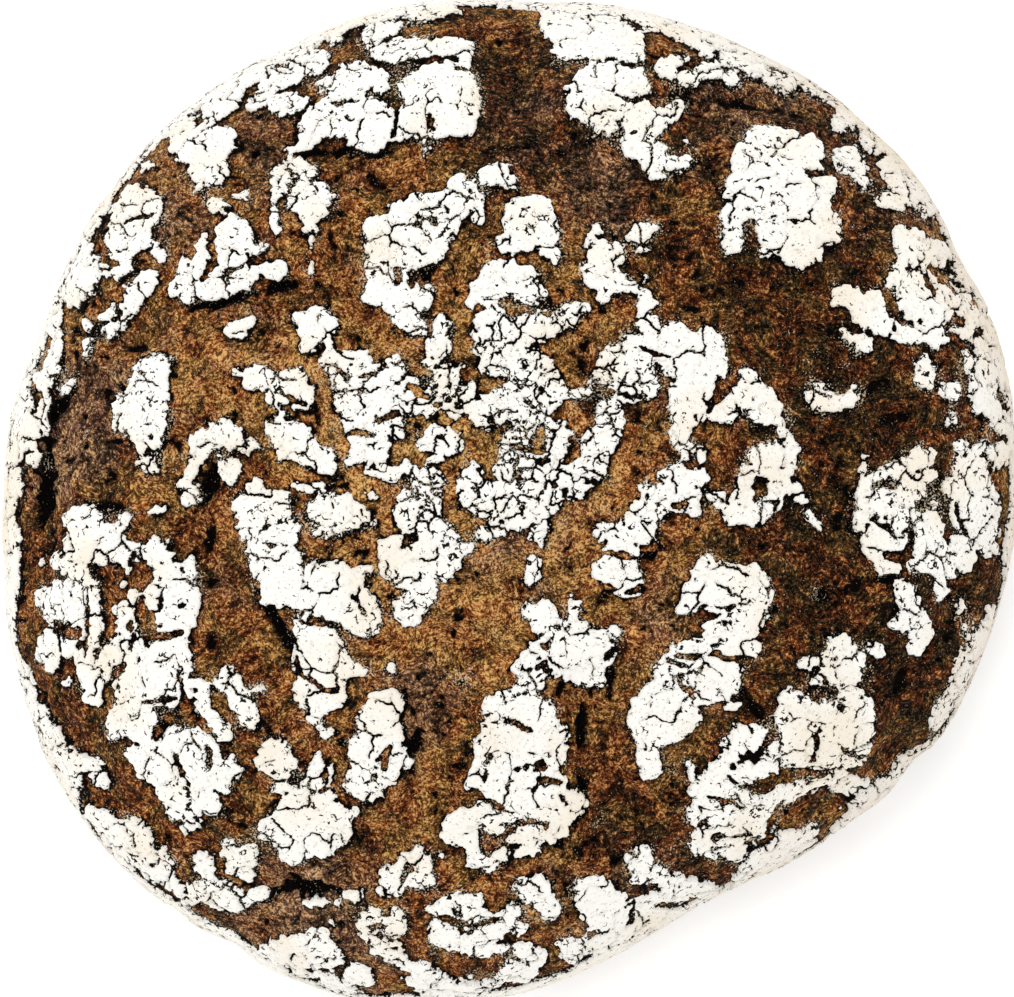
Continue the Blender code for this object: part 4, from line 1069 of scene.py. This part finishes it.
def linear(colour):
    """An sRGB hex colour as linear red, green, blue and alpha."""
    shares = [int(colour[i:i + 2], 16) / 255.0 for i in (1, 3, 5)]
    return (*(s / 12.92 if s <= 0.04045 else ((s + 0.055) / 1.055) ** 2.4 for s in shares), 1.0)


# The output that is used of each kind of node, where it isn't the first.
USED_OUTPUT = {"TexCoord": "Object", "Attribute": "Fac", "Mix": 2}


def add(tree, kind, inputs=(), stops=(), out=None, **settings):
    """Add a node with its settings, a ramp's stops, and its inputs, which are
    values or the outputs of other nodes. Returns the output that is used."""
    made = tree.nodes.new("ShaderNode" + kind)
    for name, value in settings.items():
        setattr(made, name, value)
    for number, (place, colour) in enumerate(stops):
        ramp = made.color_ramp.elements
        element = ramp[number] if number < 2 else ramp.new(place)
        element.position = place
        element.color = linear(colour)
    for socket, value in dict(inputs).items():
        if isinstance(value, bpy.types.NodeSocket):
            tree.links.new(value, made.inputs[socket])
        else:
            made.inputs[socket].default_value = value
    return made.outputs[USED_OUTPUT.get(kind, 0) if out is None else out]


def finish(name, looks):
    """A new material with its node tree and its shader, which has these looks
    all over."""
    material = bpy.data.materials.new(name)
    material.use_nodes = True
    shader = material.node_tree.nodes["Principled BSDF"]
    for socket, value in looks.items():
        shader.inputs[socket].default_value = value
    return material, material.node_tree, shader


def per(size):
    """The scale of a pattern on Object coordinates with details of one size."""
    return 1.0 / (size * MM)


def crust_finish():
    """Dark rye crust: coarse flour and bran baked to a dull, mottled brown,
    tan where the dough tore late, and nearly black with painted shade in its hollows."""
    material, tree, shader = finish("dark rye crust", {"Roughness": 0.9, "Specular IOR Level": 0.06})
    at = add(tree, "TexCoord")
    bake, dark, dust, ash = (add(tree, "Attribute", attribute_name=name)
                             for name in ("bake", "dark", "dust", "ash"))

    # The way the dough's skin stretched bends the finer patterns along it.
    pull = add(tree, "TexNoise", {"Vector": at, "Scale": per(9), "Detail": 1.0}, out="Color")
    pull = add(tree, "VectorMath", {0: pull, 1: (0.5, 0.5, 0.5)}, operation="SUBTRACT")
    bent = add(tree, "VectorMath", {0: pull, 1: (5 * MM, 5 * MM, 5 * MM), 2: at},
               operation="MULTIPLY_ADD")

    # Folds of the dough as it stretched, the same heights as the bump below: painted light makes their backs
    # paler, and painted shade darkens the hollows between.
    folds = add(tree, "TexNoise", {"Vector": bent, "Scale": per(4.5), "Detail": 4.0,
                                   "Roughness": 0.6, "Distortion": 0.4})
    level = bake
    for size, detail, share in ((13, 3.0, 0.8), (1.1, 2.0, 1.7)):
        mottle = add(tree, "TexNoise", {"Vector": bent, "Scale": per(size), "Detail": detail,
                                        "Distortion": 0.3})
        mottle = add(tree, "Math", {0: mottle, 1: 0.5}, operation="SUBTRACT")
        level = add(tree, "Math", {0: mottle, 1: share, 2: level}, operation="MULTIPLY_ADD")
    fold_shade = add(tree, "Math", {0: 0.5, 1: folds}, operation="SUBTRACT")
    level = add(tree, "Math", {0: fold_shade, 1: 1.2, 2: level}, operation="MULTIPLY_ADD")
    # Scorched places, with the pits thickest in them.
    scorch = add(tree, "TexNoise", {"Vector": bent, "Scale": per(6.0), "Detail": 4.0,
                                    "Roughness": 0.6, "Distortion": 0.3})
    scorched = add(tree, "MapRange", {0: scorch, 1: 0.50, 2: 0.68, 3: -0.03, 4: 0.22})
    level = add(tree, "Math", {0: level, 1: scorched}, operation="ADD")
    # The dark values add painted shade to the browns in the hollows and by the plates.
    level = add(tree, "Math", {0: dark, 1: 0.25, 2: level}, operation="MULTIPLY_ADD")

    red, olive, ashen = (add(tree, "ValToRGB", {"Fac": level}, stops)
                         for stops in (RED_BROWNS, OLIVE_BROWNS, ASHEN_BROWNS))
    dry = add(tree, "TexNoise", {"Vector": bent, "Scale": per(7.5), "Detail": 3.0})
    dry = add(tree, "MapRange", {0: dry, 1: 0.46, 2: 0.56})
    grey = add(tree, "TexNoise", {"Vector": bent, "Scale": per(8), "Detail": 3.0, "W": 3.0},
               noise_dimensions="4D")
    grey = add(tree, "Math", {0: grey, 1: 1.8, 2: ash}, operation="MULTIPLY_ADD")
    grey = add(tree, "MapRange", {0: grey, 1: 1.05, 2: 1.6, 3: 0.0, 4: 0.75})
    browns = add(tree, "Mix", {0: dry, 6: red, 7: olive}, data_type="RGBA")
    browns = add(tree, "Mix", {0: grey, 6: browns, 7: ashen}, data_type="RGBA")

    # Pits and creases, drawn black: burnt where scorched, and painted shade where the dark values mark
    # hollows, pores, gullies and the crust under the plates.
    pit = add(tree, "TexNoise", {"Vector": at, "Scale": per(1.8), "Detail": 4.0, "Roughness": 0.7})
    pit = add(tree, "Math", {0: pit, 1: 1.3, 2: dark}, operation="MULTIPLY_ADD")
    burnt = add(tree, "MapRange", {0: scorch, 1: 0.55, 2: 0.66, 3: 0.0, 4: 0.5})
    pit = add(tree, "Math", {0: pit, 1: burnt}, operation="ADD")
    pit = add(tree, "MapRange", {0: pit, 1: 0.96, 2: 1.36, 3: 0.0, 4: 1.0})
    crease = add(tree, "TexNoise", {"Vector": bent, "Scale": per(5.0), "Detail": 2.5, "W": 7.0},
                 noise_dimensions="4D")
    crease = add(tree, "Math", {0: crease, 1: 0.5}, operation="SUBTRACT")
    crease = add(tree, "Math", {0: crease}, operation="ABSOLUTE")
    crease = add(tree, "MapRange", {0: crease, 1: 0.0, 2: 0.030, 3: 1.0, 4: 0.0})
    there = add(tree, "TexNoise", {"Vector": at, "Scale": per(7), "Detail": 2.0})
    there = add(tree, "MapRange", {0: there, 1: 0.48, 2: 0.62, 3: 0.0, 4: 0.85})
    crease = add(tree, "Math", {0: crease, 1: there}, operation="MULTIPLY")
    pit = add(tree, "Math", {0: pit, 1: crease}, operation="MAXIMUM")
    browns = add(tree, "Mix", {0: pit, 6: browns, 7: linear(BURNT_AND_SHADE)}, data_type="RGBA")

    # Paler and darker grains of bran, drawn out the way the skin stretched.
    grains = add(tree, "TexNoise", {"Vector": bent, "Scale": per(0.55), "Detail": 1.0,
                                    "Distortion": 0.5})
    shade = add(tree, "MapRange", {0: grains, 1: 0.38, 2: 0.60, 3: 0.2, 4: 1.65})
    browns = add(tree, "VectorMath", {0: browns, "Scale": shade}, operation="SCALE")
    pale = add(tree, "MapRange", {0: grains, 1: 0.56, 2: 0.64, 3: 0.0, 4: 1.0})
    lighter = add(tree, "MapRange", {0: level, 1: 0.28, 2: 0.72, 3: 1.0, 4: 0.1})
    pale = add(tree, "Math", {0: pale, 1: lighter}, operation="MULTIPLY")
    clear = add(tree, "Math", {0: 1.0, 1: pit}, operation="SUBTRACT")
    pale = add(tree, "Math", {0: pale, 1: clear}, operation="MULTIPLY")
    browns = add(tree, "Mix", {0: pale, 6: browns, 7: linear(BRAN)}, data_type="RGBA")

    # Specks of loose flour, thickest by the plates.
    specks = add(tree, "TexNoise", {"Vector": at, "Scale": per(0.5), "Detail": 1.0})
    dusty = add(tree, "TexNoise", {"Vector": at, "Scale": per(9), "Detail": 2.0})
    dusty = add(tree, "MapRange", {0: dusty, 1: 0.42, 2: 0.62, 3: -0.02, 4: -0.20})
    least = add(tree, "Math", {0: dust, 1: dusty, 2: 0.725}, operation="MULTIPLY_ADD")
    specks = add(tree, "Math", {0: specks, 1: least}, operation="SUBTRACT")
    specks = add(tree, "MapRange", {0: specks, 1: 0.0, 2: 0.06, 3: 0.0, 4: 0.75})
    colour = add(tree, "Mix", {0: specks, 6: browns, 7: linear(FLOUR_DUST)}, data_type="RGBA")

    wrinkles = add(tree, "TexNoise", {"Vector": bent, "Scale": per(1.6), "Detail": 4.0,
                                      "Roughness": 0.6, "Distortion": 0.8})
    height = add(tree, "Math", {0: folds, 1: 2.5, 2: wrinkles}, operation="MULTIPLY_ADD")
    bump = add(tree, "Bump", {"Height": height, "Strength": 1.0, "Distance": 1.3 * MM})
    tree.links.new(colour, shader.inputs["Base Color"])
    tree.links.new(bump, shader.inputs["Normal"])
    return material


def flour_finish():
    """Rye flour baked hard: matt and near white, crazed by fine dark
    hairlines, and browned where it thins out at its edges, with painted shade
    on the edges turned from the light and on the lower side walls."""
    material, tree, shader = finish("baked-on rye flour",
                                    {"Roughness": 0.95, "Specular IOR Level": 0.1})
    at = add(tree, "TexCoord")
    burn_and_shade, crazed = (add(tree, "Attribute", attribute_name=name) for name in ("burn_and_shade", "crazed"))
    across = add(tree, "SeparateXYZ", {0: at}, out="X")
    up = across.node.outputs["Z"]
    right = add(tree, "MapRange", {0: across, 1: 40 * MM, 2: 120 * MM, 3: 0.0, 4: 0.1})
    cloud = add(tree, "TexNoise", {"Vector": at, "Scale": per(22), "Detail": 4.0})
    cloud = add(tree, "Math", {0: cloud, 1: right}, operation="ADD")
    cloud = add(tree, "MapRange", {0: cloud, 1: 0.50, 2: 0.68, 3: 0.0, 4: 0.9})
    white = add(tree, "Mix", {0: cloud, 6: linear(WHITE_FLOUR), 7: linear(CREAM_FLOUR)},
                data_type="RGBA")
    # Lower down on the side walls, and most towards the right, away from the light, the flour is greyed with
    # painted shade.
    low = add(tree, "MapRange", {0: up, 1: 32 * MM, 2: 56 * MM, 3: 1.0, 4: 0.0})
    right = add(tree, "MapRange", {0: across, 1: -20 * MM, 2: 105 * MM, 3: 0.18, 4: 0.72})
    side_shade = add(tree, "Math", {0: low, 1: right}, operation="MULTIPLY")
    white = add(tree, "Mix", {0: side_shade, 6: white, 7: linear(SIDE_SHADE_FLOUR)}, data_type="RGBA")
    spots = add(tree, "TexNoise", {"Vector": at, "Scale": per(1.1), "Detail": 3.0, "Roughness": 0.6})
    spots = add(tree, "MapRange", {0: spots, 1: 0.55, 2: 0.72, 3: 0.0, 4: 0.7})
    white = add(tree, "Mix", {0: spots, 6: white, 7: linear(FLOUR_SHADE)}, data_type="RGBA")

    # Hairlines: a net of ragged lines, shown where the flour is crazed.
    ragged = add(tree, "TexNoise", {"Vector": at, "Scale": per(1.4), "Detail": 3.0}, out="Color")
    ragged = add(tree, "VectorMath", {0: ragged, 1: (0.5, 0.5, 0.5)}, operation="SUBTRACT")
    ragged = add(tree, "VectorMath", {0: ragged, "Scale": 2.4 * MM}, operation="SCALE")
    ragged = add(tree, "VectorMath", {0: at, 1: ragged}, operation="ADD")
    lines = add(tree, "TexVoronoi", {"Vector": ragged, "Scale": per(2.4)},
                feature="DISTANCE_TO_EDGE")
    sound = add(tree, "TexNoise", {"Vector": at, "Scale": per(9), "Detail": 1.0})
    sound = add(tree, "MapRange", {0: sound, 1: 0.35, 2: 0.65, 3: -0.09, 4: 0.07})
    broken = add(tree, "TexNoise", {"Vector": at, "Scale": per(1.7), "Detail": 2.0})
    broken = add(tree, "Math", {0: broken, 1: sound}, operation="ADD")
    broken = add(tree, "Math", {0: crazed, 1: 0.10, 2: broken}, operation="MULTIPLY_ADD")
    width = add(tree, "MapRange", {0: broken, 1: 0.57, 2: 0.74, 3: 0.0, 4: 0.12})
    lines = add(tree, "Math", {0: width, 1: lines}, operation="SUBTRACT")
    lines = add(tree, "MapRange", {0: lines, 1: 0.0, 2: 0.02, 3: 0.0, 4: 1.0})
    pits = add(tree, "TexNoise", {"Vector": at, "Scale": per(0.7), "Detail": 1.0})
    pits = add(tree, "MapRange", {0: pits, 1: 0.715, 2: 0.75, 3: 0.0, 4: 0.8})
    marks = add(tree, "Math", {0: lines, 1: pits}, operation="MAXIMUM")

    # Its edges and its cracks crumble into burnt flour, with painted shade deepest on the edges turned away
    # from the light.
    edge = add(tree, "TexNoise", {"Vector": at, "Scale": per(0.7), "Detail": 2.0})
    edge = add(tree, "Math", {0: edge, 1: 0.9, 2: burn_and_shade}, operation="MULTIPLY_ADD")
    edge = add(tree, "MapRange", {0: edge, 1: 0.80, 2: 0.92, 3: 0.0, 4: 1.0})
    marks = add(tree, "Math", {0: marks, 1: edge}, operation="MAXIMUM")
    colour = add(tree, "Mix", {0: marks, 6: white, 7: linear(CHAR_AND_SHADE)}, data_type="RGBA")

    relief = add(tree, "TexNoise", {"Vector": at, "Scale": per(0.9), "Detail": 2.0})
    relief = add(tree, "Math", {0: marks, 1: -1.0, 2: relief}, operation="MULTIPLY_ADD")
    bump = add(tree, "Bump", {"Height": relief, "Strength": 0.5, "Distance": 0.25 * MM})
    tree.links.new(colour, shader.inputs["Base Color"])
    tree.links.new(bump, shader.inputs["Normal"])
    return material


def paper_finish():
    """Matt white paper on a faintly lit table, which leaves next to no
    shadow and throws light back up at the sides."""
    looks = {"Base Color": linear(PAPER), "Emission Color": linear(PAPER),
             "Emission Strength": TABLE_STRENGTH, "Roughness": 0.9}
    material, _, _ = finish("matt white paper", looks)
    return material


# The set

def placed(name, data):
    """A new object in the scene."""
    made = bpy.data.objects.new(name, data)
    bpy.context.scene.collection.objects.link(made)
    return made


def make_floor():
    """A round of paper, which reaches to the far distance of a low view."""
    bm = bmesh.new()
    bmesh.ops.create_circle(bm, cap_ends=True, segments=96, radius=FLOOR_RADIUS)
    floor = placed("floor", closed(bm, "floor"))
    floor.data.materials.append(paper_finish())
    floor.location.z = -FLOOR_GAP * MM


def make_lights():
    """A big soft window of light from the upper left, and a bright room."""
    world = bpy.data.worlds.new("bright room")
    bpy.context.scene.world = world
    world.use_nodes = True
    background = world.node_tree.nodes["Background"]
    background.inputs["Color"].default_value = (1.0, 1.0, 1.0, 1.0)
    background.inputs["Strength"].default_value = ROOM_STRENGTH
    window = placed("window", bpy.data.lights.new("window", "SUN"))
    window.data.energy = WINDOW_STRENGTH
    window.data.angle = math.radians(WINDOW_SPREAD)
    towards = -Vector(WINDOW_DIRECTION)
    window.rotation_mode = "QUATERNION"
    window.rotation_quaternion = towards.to_track_quat("-Z", "Y")


def make_camera():
    """Straight above the loaf, far enough off to see it nearly flat."""
    camera = placed("camera", bpy.data.cameras.new("camera"))
    camera.data.sensor_width = FILM_WIDTH
    camera.data.lens = FILM_WIDTH * (CAMERA_HEIGHT - WIDEST_HEIGHT * MM) / (VIEW_WIDTH * MM)
    camera.data.clip_end = FLOOR_RADIUS
    camera.location = (*(ROUND_MIDDLE + VIEW_MIDDLE) * MM, CAMERA_HEIGHT)
    bpy.context.scene.camera = camera
    bpy.context.scene.view_settings.view_transform = "Standard"


skin = bare_skin()
outline = outline_of(places_of(skin))
make_flour(skin, flour_finish())
make_crust(skin, crust_finish())
make_floor()
make_lights()
make_camera()
